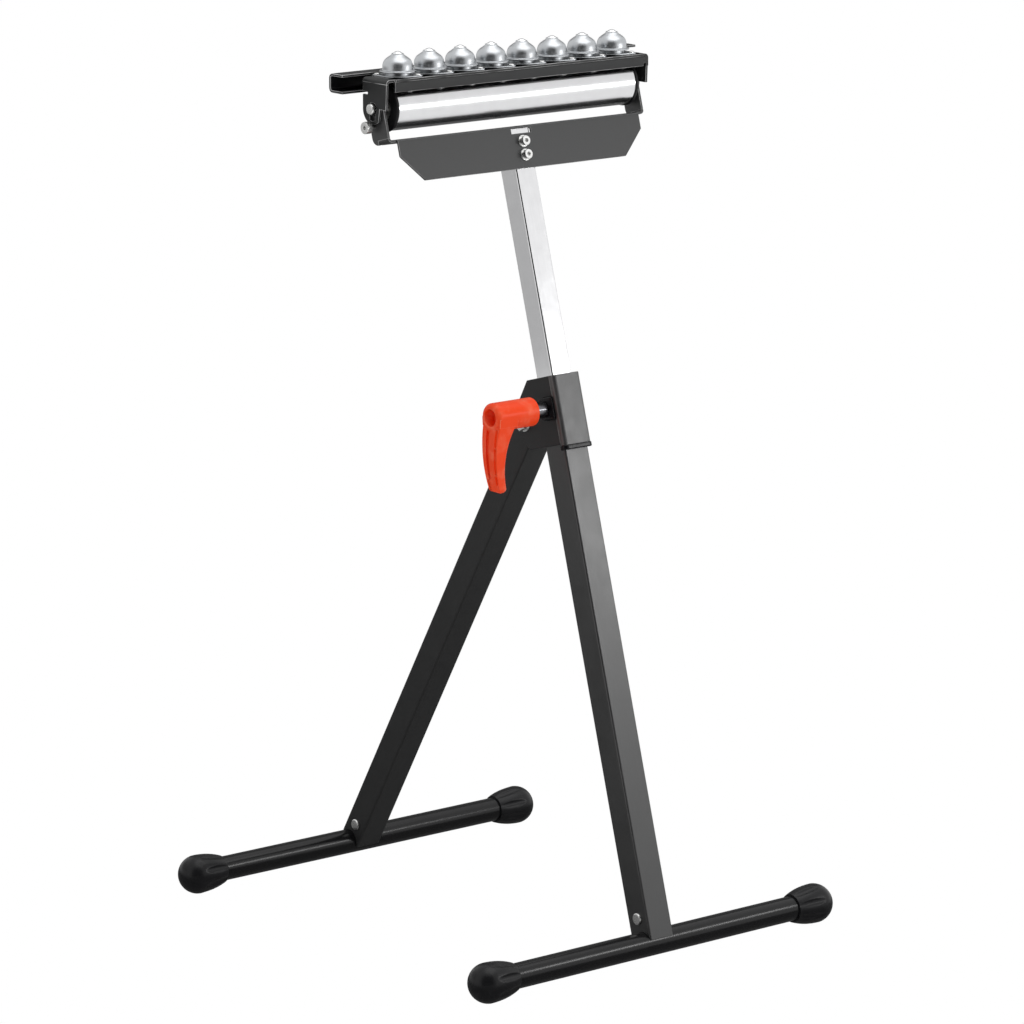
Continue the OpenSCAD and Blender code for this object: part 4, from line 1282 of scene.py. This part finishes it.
@dataclass
class Clamp(Assembly):
    """The clamp's handle and its stud."""

    body: str = "clamp_screw"
    hub_in: float = 37.0
    hub_out: float = 89.0
    hub_r: float = 14.4
    recess_r: float = 8.7
    recess_h: float = 12.0
    length: float = 76.0
    tip_half: float = 9.0
    tip_r: float = 4.8
    wide: float = 12.2
    outer: Triple = (41.8, -33.0, 132.0)
    inner: Triple = (2.0, -50.0, 80.0)
    groove: float = 2.5
    groove_back: float = 3.5
    groove_ends: Pair = (-12.7, -63.0)
    step: float = 5.6
    step_ends: Pair = (-10.0, -68.0)
    ribs: Pair = (-29.0, -57.0)
    neck_low: float = -9.4
    neck_ends: Pair = (-87.4, -64.5)
    stud_r: float = 8.2
    stud_in: float = 13.7
    stud_len: float = 23.3
    thread_r: float = 4.0
    thread_len: float = 7.0

    @staticmethod
    def curve(circle: Triple, z: float) -> float:
        """Where a long curve of the lever lies at a height: the left side of its circle."""
        x, middle, radius = circle
        return x - math.sqrt(radius**2 - (z - middle) ** 2)

    @staticmethod
    def faded(z: float, ends: Pair) -> float:
        """1 between two heights, down to 0 at each over 2 mm."""
        return min(max(min((ends[0] - z) / 2, (z - ends[1]) / 2), 0), 1)

    def lever(self) -> Form:
        """The curved lever, with a groove and a ribbed step down its outer face.

        Returns:
            The form.
        """
        half, back, step, wide = self.hub_r, self.groove_back, self.step - self.hub_r, self.wide
        section = corners(
            (0, 0.5 - half), (1.5, self.step - 0.5 - half), (0, step), (0, back - 2.5),
            (self.groove, back - 2.5, 0.6), (self.groove, back + 2.5, 0.6), (0, back + 2.5),
            (0, half, 2.6), (wide, half, 3), (wide, -half, 2.2), (0.6, -half, 0.5),
        )
        form = Form.plate(section, -self.length, -self.recess_r - 0.1)
        form.sliced(-i for i in range(10, 71))
        form.sliced(rib + side for rib in self.ribs for side in (-0.6, 0.6))
        tip_line = self.tip_r - self.length
        turns = (math.radians(i) for i in range(0, 90, 8))
        form.sliced(tip_line - self.tip_r * math.sin(turn) for turn in turns)

        def shaped(spot: Vector) -> Vector:
            """Bend and taper the lever, round its tip, and end its groove and step.

            Args:
                spot: A point of the straight lever.

            Returns:
                Its place.
            """
            x, y, z = spot
            in_groove = abs(y - back) < 2.6 and 0 < x < self.groove + 0.1
            if in_groove:
                x *= self.faded(z, self.groove_ends)
            elif 1.2 < x < 1.8 and y < step:
                x *= self.faded(z, self.step_ends)
                if min(abs(z - rib) for rib in self.ribs) < 0.7:
                    x = 0.0
            outside = self.curve(self.outer, max(z, tip_line))
            inside = self.curve(self.inner, max(z, tip_line))
            place = outside + x if x < wide / 2 else inside - (wide - x)
            if not in_groove:
                y *= 1 - (1 - self.tip_half / half) * -z / self.length
            if z < tip_line:
                low = math.sqrt(max(1 - ((tip_line - z) / self.tip_r) ** 2, 0.0016))
                middle = (outside + inside) / 2
                place = middle + (place - middle) * low
                y *= 0.6 + 0.4 * low
            return Vector((place, y, z))

        return form.warped(shaped)

    def neck(self) -> Form:
        """The flanks that run from the lever up to the hub, round the recess.

        Returns:
            The form.
        """
        half, low = self.hub_r, self.neck_low
        outline = corners((-half, 0), (0.6 - half, low), (half - 0.6, low), (half, 0))
        outline += arc((0, 0), self.recess_r + 0.2, 0, -180, 24)
        return Form.plate(outline, *self.neck_ends, Plane.SIDE).softened(0.5)

    def hub(self) -> Form:
        """The hub with the round recess in its outer end.

        Returns:
            The form.
        """
        long, r = self.hub_out - self.hub_in, self.recess_r
        section = corners(
            (0, 0), (self.hub_r, 0, 1), (self.hub_r, long, 4.5), (r, long, 0.5),
            (r, long - self.recess_h, 0.5), (0, long - self.recess_h),
        )
        return Form.turned(section, steps=96).placed(onto(Plane.LEFTWARDS, -self.hub_in))

    def build(self) -> None:
        """Build the handle and the stud."""
        place = self.places.clamp
        handle = self.hub().joined(self.lever(), self.neck())
        self.add("handle", handle.placed(place), Coat.ORANGE, "clamp_handle")
        r, long, thread, start = self.stud_r, self.stud_len, self.thread_r, self.thread_len
        section = corners(
            (0, 0), (thread, 0), (thread, start), (r, start, 0.8), (r, long), (0, long)
        )
        stud = Form.turned(section).placed(place @ onto(Plane.LEFTWARDS, -self.stud_in))
        self.add("stud", stud, Coat.STUD, "clamp_stud")


@dataclass
class Head(Assembly):
    """The mast with the folded head bracket, its screws and the roller's axle."""

    body: str = "mast_head"
    mast_w: float = 25.4
    mast_bore: float = 22.4
    mast_len: float = 558.0
    sheet: float = 2.5
    bend: float = 3.2
    plate_half: float = 153.6
    plate_drop: float = 40.5
    chamfer: float = 25.6
    opening_half: float = 12.5
    opening: Pair = (-5.5, -0.7)
    lap: float = 12.0
    ear_in: float = 160.5
    ear_half: float = 12.8
    screws: Pair = (13.6, 27.2)
    screw_head: tuple[float, ...] = (4.7, 5.0, 3.9, 2.6)
    washer_r: float = 6.0
    washer_t: float = 1.2
    stop: Pair = (7.0, -16.8)
    stop_head: tuple[float, ...] = (6.0, 6.0, 4.0, 3.0)
    stop_r: float = 2.5
    stop_ends: Pair = (158.5, 169.0)
    stop_out: float = 168.7
    axle_r: float = 5.0
    neck_r: float = 3.0
    axle_head: float = 5.5
    axle_ends: Triple = (163.0, 166.8, 170.0)

    def bracket(self) -> Form:
        """The folded sheet: front plate, web and two ears.

        Returns:
            The form.
        """
        sheet, half, drop = self.sheet, self.plate_half, self.plate_drop
        front, reach, (low, high) = -self.mast_w / 2 - sheet, self.opening_half, self.opening
        r, rear, relief, out = self.ear_half, self.ear_half - 9, 4.5, self.ear_in + sheet
        chain = corners((rear, sheet), (front, sheet, self.bend), (front, -drop))
        plate = Form.strip(chain, -half, half, Plane.SIDE)
        for side in (-1, 1):
            plate.cut((side * (half - self.chamfer), 0, -drop), (side, 0, -1))
            plate.cut((side * reach, 0, 0), (1, 0, 0), keep=True)
        plate.sliced(self.opening)
        plate.drop(lambda spot: abs(spot.x) < reach and low < spot.z < high)
        plate.wall(sheet, (0, 0, -20)).softened(0.4)
        start = half - self.lap
        chain = corners((start, 0), (out, 0, self.bend + 0.8), (out, relief))
        fold = Form.strip(chain, -rear, r, Plane.FRONT).wall(sheet, (start, 0, 10)).softened(0.3)
        outline = corners((-r, relief), (rear, relief), (rear, 0, 0.5), (r, 0, 8.9))
        outline += corners((r, AXLE_UP + r, r), (-r, AXLE_UP + r, r))
        ear = Form.plate(outline, self.ear_in, out, Plane.SIDE).softened(0.35)
        return plate.joined(ear.joined(fold).doubled())

    def stop_screws(self) -> Form:
        """The two screws that the deck's ears rest against, about the axle's line.

        Returns:
            The form.
        """
        r, (start, end) = self.stop_r, self.stop_ends
        shank = corners((0, start), (r, start), (r, end), (0, end))
        head = socket_head(*self.stop_head).placed(onto(Plane.SIDE, self.stop_out))
        screw = head.joined(Form.turned(shank, Plane.SIDE, 32))
        across = Matrix.Rotation(-FRONT_LEAN, 4, "X") @ Vector((0, *self.stop))
        return screw.doubled().placed(Matrix.Translation(across))

    def build(self) -> None:
        """Build the mast, the bracket and what is screwed to it."""
        head, axle_line = self.places.head, self.places.axle
        hollow = rectangle(self.mast_bore, self.mast_bore, 0.6)
        outline = rectangle(self.mast_w, self.mast_w, 2)
        mast = Form.plate(outline, -self.mast_len, 0, holes=[hollow]).softened(0.3, above=60)
        washers, screws = Form(), Form()
        for drop in self.screws:
            spot = onto(Plane.FORWARDS, 0, -self.mast_w / 2 - self.sheet, -drop)
            washers.joined(disc(self.washer_r, 0, self.washer_t).softened(0.3).placed(spot))
            screws.joined(socket_head(*self.screw_head).placed(spot @ shift(z=self.washer_t)))
        r, neck, cap, (end, under, top) = self.axle_r, self.neck_r, self.axle_head, self.axle_ends
        section = corners(
            (0, 0), (r, 0), (r, end), (neck, end), (neck, under), (cap, under, 0.4),
            (cap, top, 1.4), (0, top + 0.2),
        )
        axle = Form.turned(section, Plane.SIDE, 48).doubled()
        for name, form, place, coat, node in (
            ("mast_tube", mast, head, Coat.MAST, "mast"),
            ("bracket", self.bracket(), head, Coat.PLATE, "head_bracket"),
            ("washers_front", washers, head, Coat.ZINC, "plate_washers"),
            ("screws_front", screws, head, Coat.ZINC, "plate_screws"),
            ("axle", axle, axle_line, Coat.ZINC, "roller_axle"),
            ("stops", self.stop_screws(), axle_line, Coat.ZINC, "stop_screws"),
        ):
            self.add(name, form.placed(place), coat, node)


@dataclass
class Roller(Assembly):
    """The roller tube and its two ends."""

    body: str = "roller"
    radius: float = 23.0
    wall: float = 2.0
    half: float = 151.0
    rim_r: float = 24.0
    rim_t: float = 3.0
    plug: float = 10.0
    bore: float = 7.5
    cup: float = 13.1
    cup_deep: float = 8.0

    def end(self) -> Form:
        """The right end: a plug in the tube, a rim past it and a cup round the axle.

        Returns:
            The form.
        """
        half, inside, rim = self.half, self.radius - self.wall - 0.05, self.rim_r
        bore, cup, out = self.bore, self.cup, half + self.rim_t
        section = corners(
            (bore, half - self.plug), (inside, half - self.plug), (inside, half), (rim, half, 0.4),
            (rim, out, 0.9), (cup, out, 0.4), (cup, out - self.cup_deep),
            (bore, out - self.cup_deep),
        )
        return Form.turned(section, Plane.SIDE, 96, ring=True)

    def build(self) -> None:
        """Build the tube and the ends."""
        place = self.places.axle
        section = tube_section(self.radius - self.wall, self.radius, self.half, 0.7)
        tube = Form.turned(section, Plane.SIDE, 128, ring=True).placed(place)
        self.add("roller_shell", tube, Coat.ROLLER, "roller_tube")
        for side, name in ((1, "right"), (-1, "left")):
            node = f"roller_end_{name}"
            end = self.end().placed(place @ mirrored(side))
            self.add(f"{node}_moulding", end, Coat.INNER, node)


@dataclass
class Deck(Assembly):
    """The flip-over deck and the guide bar behind it."""

    body: str = "deck"
    sheet: float = 2.5
    bend: float = 4.3
    front: float = 24.4
    ear_front: float = 22.4
    back: float = 15.5
    ear_out: float = 166.2
    flange_left: float = -156.5
    flange_low: float = 17.8
    nick: Triple = (160.2, 163.3, 20.54)
    ear_step: float = 0.66
    ear_back: float = 15.27
    notch: Triple = (7.3, 13.5, 16.5)
    sweep: float = 15.4
    sweep_steps: Triple = (228, 303, 311)
    slot_half: float = 4.25
    seat_r: float = 6.5
    lift: float = 5.4
    tab_out: float = 97.5
    tab_w: float = 30.0
    tab_drop: float = 13.0
    bar_front: float = 20.2
    bar_back: float = 41.7
    bar_low: float = 13.9
    bar_high: float = 32.9
    bar_half: float = 187.5
    bar_corner: float = 5.0

    def keyhole(self) -> list[Corner]:
        """Outline of the hole that seats on the bush and lets the deck lift.

        Returns:
            The corners.
        """
        reach = math.degrees(math.asin(self.slot_half / self.seat_r))
        seat = arc((0, 0), self.seat_r, -90 + reach, 270 - reach, 36)
        return seat + arc((0, -self.lift), self.seat_r, 270 - reach, 270 + reach, 10)

    def ear(self, front: float) -> Form:
        """The flat part of one ear, on the right.

        Args:
            front: How far it reaches ahead of the axle.

        Returns:
            The form.
        """
        top, step, back, sweep = DECK_UP - self.bend, self.ear_step, self.ear_back, self.sweep
        (start, middle, again), (deep, low, high) = self.sweep_steps, self.notch
        reach = math.degrees(math.acos(back / sweep))
        outline = corners((-front, top), (-front + 1.2, step, 0.6), (-11.3, step), (-10, -9.3, 0.8))
        outline += arc((0, 0), sweep, start, middle, 20)
        outline += arc((0, 0), sweep, again, 360 - reach, 8)
        outline += corners(
            (back, low), (deep, low, 1.4), (deep, high, 1.4), (back, high), (back, top)
        )
        inside, holes = self.ear_out - self.sheet, [self.keyhole()]
        form = Form.plate(outline, inside, self.ear_out, Plane.SIDE, holes=holes)
        return form.softened(0.3, above=60)

    def folded(self, chain: list[Corner], start: float, end: float, plane: Plane) -> Form:
        """A part of the sheet, folded along a chain, that grows towards the axle."""
        form = Form.strip(chain, start, end, plane)
        return form.wall(self.sheet, (0, 0, 0)).softened(0.3)

    def tray(self) -> Form:
        """The deck's plate with the folds that run into its ears.

        Returns:
            The form.
        """
        out, low, step = self.ear_out, DECK_UP - self.bend, self.flange_left + 1
        left = corners((-out, low), (-out, DECK_UP, self.bend), (step, DECK_UP))
        right = corners((step, DECK_UP), (out, DECK_UP, self.bend), (out, low))
        return self.folded(left, -self.back, self.ear_front, Plane.FRONT).joined(
            self.folded(right, -self.back, self.front - 0.2, Plane.FRONT)
        )

    def flange(self) -> Form:
        """The front flange and the fold above it, with its rounded right end.

        Returns:
            The form.
        """
        out, front, low, bend = self.ear_out, self.front, self.flange_low, self.bend
        right, start, (x0, x1, top) = out - bend, out - bend - 0.01, self.nick
        chain = corners((-front, low), (-front, DECK_UP, bend), (-12, DECK_UP))
        fold = Form.strip(chain, self.flange_left, right, Plane.SIDE)
        fold.cut((x0, 0, 0), (1, 0, 0), keep=True).sliced([top])
        fold.drop(lambda spot: spot.x > x0 and spot.z < top)
        # Painted highlight line along the fold, on the faces that look up and forward.
        fold.wall(self.sheet, (0, 0, 0)).softened(0.3).scuffed_and_highlit((0, -0.5, 0.87), 9)
        outline = corners(
            (start, top), (x1, top), (x1, low), (out, low, 0.4), (out, DECK_UP, bend),
            (start, DECK_UP),
        )
        end = Form.plate(outline, front - self.sheet, front, Plane.FRONT).softened(0.3)
        return fold.joined(end)

    def tab(self) -> Form:
        """One tab that turns down against the guide bar's web.

        Returns:
            The form.
        """
        rear, half = self.bar_back - self.sheet, self.tab_w / 2
        chain = corners((self.back - 1, DECK_UP), (rear, DECK_UP, self.bend))
        chain += corners((rear, DECK_UP - self.tab_drop))
        form = Form.strip(chain, self.tab_out - half, self.tab_out + half, Plane.SIDE)
        return form.wall(self.sheet, (self.tab_out, 20, 0)).softened(0.3)

    def bar(self) -> Form:
        """The channel that is open to the front and at both ends.

        Returns:
            The form.
        """
        front, back, r = self.bar_front, self.bar_back, self.bar_corner
        low, high = self.bar_low, self.bar_high
        chain = corners((front, low), (back, low, r), (back, high, r), (front, high))
        form = Form.strip(chain, -self.bar_half, self.bar_half, Plane.SIDE)
        return form.wall(self.sheet, (0, 30, 23)).softened(0.6)

    def build(self) -> None:
        """Build the deck and the guide bar."""
        axle = self.places.axle
        deck = self.tray().joined(self.flange(), self.tab().doubled())
        deck.joined(self.ear(self.front - 0.1), self.ear(self.ear_front).placed(mirrored()))
        self.add("deck_plate", deck.placed(axle), Coat.DECK, "flip_deck")
        self.add("bar_channel", self.bar().placed(axle), Coat.BAR, "guide_bar")


@dataclass
class BallUnits(Assembly):
    """The row of ball units with their rivets and balls."""

    body: str = "deck"
    count: int = 8
    pitch: float = 39.0
    ahead: float = 2.2
    sheet: float = 2.5
    turn: float = math.radians(-48)
    ball_r: float = 6.35
    ball_up: float = 18.05
    lozenge_r: float = 17.2
    lozenge_end: float = 5.0
    lozenge_t: float = 1.5
    rivet_out: float = 19.7
    rivet_r: float = 3.4

    def lozenge(self) -> Form:
        """The flange under a housing: a disc with a rounded ear at each rivet.

        Returns:
            The form.
        """
        r, end, out = self.lozenge_r, self.lozenge_end, self.rivet_out
        tangent = math.degrees(math.acos((r - end) / out))
        outline = arc((0, 0), r, tangent, 180 - tangent, 20)
        outline += arc((-out, 0), end, 180 - tangent, 180 + tangent, 12)
        outline += arc((0, 0), r, 180 + tangent, 360 - tangent, 20)
        outline += arc((out, 0), end, -tangent, tangent, 12)
        return Form.plate(outline, 0, self.lozenge_t).softened(0.4)

    def housing(self) -> Form:
        """The pressed dome with its brim and the lip that holds the ball.

        Returns:
            The form.
        """
        inside = arc((0, self.ball_up), self.ball_r + 0.3, 36, -88, 16)
        section = corners(
            (0, 0.7), (12.6, 0.7), (12.6, 4.4, 0.3), (17.7, 4.4, 0.6), (17.7, 5.7, 0.6),
            (15, 6.4, 0.7), (15, 10.4, 6), (14.6, 12.6, 6), (13.6, 15, 6), (11.9, 17, 6),
            (9.4, 18.8, 5), (7.3, 20.2, 3), (6.1, 21.4, 1), (5.8, 22.4, 0.3), (5.45, 22.3, 0.2),
        )
        return Form.turned(section + inside, steps=72)

    def rivets(self) -> Form:
        """The two rivets of a unit, with their closing heads under the deck.

        Returns:
            The form.
        """
        over = Matrix.Rotation(math.pi, 4, "X")
        head = round_head(self.rivet_r, 1.2, 0.3).placed(shift(z=self.lozenge_t))
        tail = round_head(self.rivet_r, 0.8).placed(shift(z=-self.sheet) @ over)
        one = head.joined(tail).placed(shift(self.rivet_out))
        return one.joined(one.copied(Matrix.Rotation(math.pi, 4, "Z")))

    def sphere(self) -> Form:
        """A ball about the origin.

        Returns:
            The form.
        """
        form = Form()
        bmesh.ops.create_uvsphere(form.mesh, u_segments=48, v_segments=32, radius=self.ball_r)
        return form

    def build(self) -> None:
        """Build every unit and its ball."""
        rivets, turned = Form(), Matrix.Rotation(self.turn, 4, "Z")
        for i in range(1, self.count + 1):
            x = (i - (self.count + 1) / 2) * self.pitch
            place = self.places.axle @ shift(x, -self.ahead, DECK_UP)
            unit = self.housing().joined(self.lozenge().placed(turned)).placed(place)
            self.add(f"ball_housing_{i}", unit, Coat.PRESSED, f"ball_unit_{i}")
            ball = self.sphere().placed(place @ shift(z=self.ball_up))
            self.add(f"transfer_ball_{i}", ball, Coat.BALL, f"ball_{i}", body=f"ball_{i}_body")
            rivets.joined(self.rivets().placed(turned).placed(place))
        self.add("unit_rivets", rivets, Coat.ZINC, "deck_rivets")


@dataclass
class InnerPieces(Assembly):
    """Pieces that keep the frame's own shape and only get a finish."""

    nodes: dict[str, object] = field(default_factory=dict)

    COATS = {
        Coat.ZINC: (
            "clamp_nut", "leg_bush", "nut_bar", "axle_spacers", "roller_bearings", "bar_rivets",
        ),
        Coat.INNER: ("post_sleeve", "mast_glide", "deck_bushes"),
        Coat.FOOT: ("front_spigot", "rear_spigot"),
        Coat.BRASS: ("pressure_pad",),
    }

    def build(self) -> None:
        """Nothing is built: the frame's shapes stay."""

    def dress(self) -> None:
        """Give each of the frame's shapes its material."""
        for coat, names in self.COATS.items():
            for name in names:
                for slot in self.nodes[name].material_slots:
                    slot.material = self.palette[coat]


# ---------------------------------------------------------------- studio


@dataclass
class Studio:
    """Pale floor, white surroundings, two soft lamps, boards for the gloss, and the camera."""

    azimuth: float = -39.159
    elevation: float = 12.369
    distance: float = 5.2752
    target: Triple = (0.037825, 0.030504, 0.405167)
    lens: float = 181.81
    around: float = 0.62
    floor_low: float = -0.3
    floor_r: float = 9500.0
    floor_glow: float = 1.13
    floor_white: float = 0.82
    floor_clear: float = 0.985
    mats: Pair = (-0.25, -0.15)
    mid_height: float = 0.5

    @staticmethod
    def direction(azimuth: float, elevation: float) -> Vector:
        """The way from the object to a viewer at an azimuth and elevation in degrees."""
        a, e = math.radians(azimuth), math.radians(elevation)
        return Vector((math.sin(a) * math.cos(e), -math.cos(a) * math.cos(e), math.sin(e)))

    @staticmethod
    def seen(shade: Shade) -> Wire:
        """1 for rays that show the surroundings: from the camera, gloss and glass.

        Args:
            shade: The nodes to add to.

        Returns:
            The mask.
        """
        names = ("Is Camera Ray", "Is Glossy Ray", "Is Transmission Ray")
        camera, gloss, glass = (shade.node("ShaderNodeLightPath", output=name) for name in names)
        return (camera + gloss + glass).above(0.5, width=0.2)

    def world(self) -> None:
        """White where it is seen, gentler where it lights."""
        shade = Shade("surroundings", "worlds")
        level = self.around + self.seen(shade) * (1 - self.around)
        glow = shade.node("ShaderNodeBackground", {"Color": (1, 1, 1, 1), "Strength": level})
        bpy.context.scene.world = shade.output(glow, "ShaderNodeOutputWorld")

    def floor(self) -> None:
        """A pale disc; from above, a foot that folds below it still shows through."""
        form = Form()
        bmesh.ops.create_circle(form.mesh, cap_ends=True, radius=self.floor_r, segments=96)
        obj = form.placed(shift(z=self.floor_low)).to_object("studio_floor")
        shade = Shade("floor_white")
        grain = shade.noise(shade.place(), 120.0, detail=2.0)
        pale = shade.tint((0.86, 0.86, 0.86), 1.0 + grain * 0.02)
        matt = shade.node("ShaderNodeBsdfDiffuse", {"Color": pale})
        white = shade.node("ShaderNodeEmission", {"Strength": self.floor_glow})
        solid = shade.mixed(self.seen(shade) * self.floor_white, matt, white)
        clear = shade.node("ShaderNodeBsdfTransparent")
        direct = shade.node("ShaderNodeLightPath", output="Is Camera Ray")
        surface = shade.mixed(direct * self.floor_clear, solid, clear)
        obj.data.materials.append(shade.output(surface))

    def lamp(self, name: str, place: Vector, aim: Vector, size: Pair, glow: float) -> None:
        """A rectangular soft lamp.

        Args:
            name: Name of the lamp.
            place: Its middle, in metres.
            aim: The point it faces.
            size: Width and height in metres.
            glow: How bright its face looks, where 1 is white.
        """
        data = bpy.data.lights.new(name, "AREA")
        data.shape = "RECTANGLE"
        data.size, data.size_y = size
        data.energy = glow * math.pi * size[0] * size[1]
        obj = bpy.data.objects.new(name, data)
        obj.location = place
        obj.rotation_euler = (place - aim).to_track_quat("Z", "Y").to_euler()
        obj.visible_camera = False
        bpy.context.scene.collection.objects.link(obj)

    def reflected(self, form: Form, name: str, grey: float) -> None:
        """Make a form a board that is seen only in reflections.

        Args:
            form: The board's shape.
            name: Its name.
            grey: How bright it looks, where 1 is white.
        """
        obj = form.to_object(name)
        shade = Shade(f"{name}_grey")
        grain = shade.noise(shade.place(), 20.0, detail=2.0)
        strength = grey * (0.95 + grain * 0.1)
        glow = shade.node("ShaderNodeEmission", {"Strength": strength})
        obj.data.materials.append(shade.output(glow))
        for sight in ("camera", "diffuse", "transmission", "shadow"):
            setattr(obj, f"visible_{sight}", False)

    @staticmethod
    def card(middle: float, spread: float, radius: float, low: float, top: float) -> Form:
        """A standing card bent round the stand, as far to each side as its spread in degrees."""
        span = arc((0, 0), radius, middle - 90 - spread, middle - 90 + spread, 24)
        return Form.strip(span, low, top, Plane.TOP)

    def camera(self) -> None:
        """The camera at the stand's viewing angle."""
        data = bpy.data.cameras.new("camera")
        data.lens = self.lens
        data.sensor_width = 36.0
        data.clip_end = 100.0
        obj = bpy.data.objects.new("camera", data)
        back = self.direction(self.azimuth, self.elevation)
        obj.location = Vector(self.target) + back * self.distance
        obj.rotation_euler = back.to_track_quat("Z", "Y").to_euler()
        bpy.context.scene.collection.objects.link(obj)
        bpy.context.scene.camera = obj

    def build(self) -> None:
        """Set up everything round the object."""
        bpy.context.scene.view_settings.view_transform = "Standard"
        self.world()
        self.floor()
        fan = arc((0, 0), 2400, 25, 153, 32) + arc((0, 0), 300, 153, 25, 16)
        for name, form, grey in (
            ("front_card", self.card(self.azimuth, 36, radius=2600, low=0, top=3300), 0.02),
            ("left_card", self.card(-141, 30, radius=1300, low=300, top=800), 0.52),
            ("back_card", self.card(141, 26, radius=2600, low=0, top=2600), 0.2),
            ("near_mat", Form.plate(rectangle(1000, 900, 40), *self.mats), 0.16),
            ("back_mat", Form.plate(fan, *self.mats), 0.12),
        ):
            self.reflected(form, name, grey)
        self.camera()
        middle = Vector((0, 0, self.mid_height))
        self.lamp("overhead", Vector((0.3, -0.4, 3.2)), middle, size=(2.6, 2.6), glow=1.5)
        front = Vector((0, -0.12, 0.47)) + self.direction(39, 12.5) * 1.7
        self.lamp("front_box", front, middle, size=(0.6, 0.2), glow=11.0)


# ---------------------------------------------------------------- the stand


def main() -> None:
    """Load the frame, build and dress every sub-assembly, and set the studio."""
    logging.basicConfig(level=logging.INFO, format="%(message)s")
    for spare in list(bpy.data.objects):
        bpy.data.objects.remove(spare)
    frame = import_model()
    places, palette = Places.read(frame), Palette()
    assemblies: list[Assembly] = [
        Foot(places, palette),
        Foot(places, palette, body="leg", end="rear", y=240.0, bolt_up=24.0, leg_half=14.7),
        Post(places, palette),
        RearLeg(places, palette),
        Clamp(places, palette),
        Head(places, palette),
        Roller(places, palette),
        Deck(places, palette),
        BallUnits(places, palette),
        InnerPieces(places, palette, nodes=frame["nodes"]),
    ]
    for assembly in assemblies:
        assembly.build()
        assembly.dress()
        for piece, coat in assembly.dressed:
            faces = len(piece.data.polygons)
            log.info("%s: %s, %d faces", piece.name, coat.name.lower(), faces)
    Studio().build()


if __name__ == "__main__":
    main()
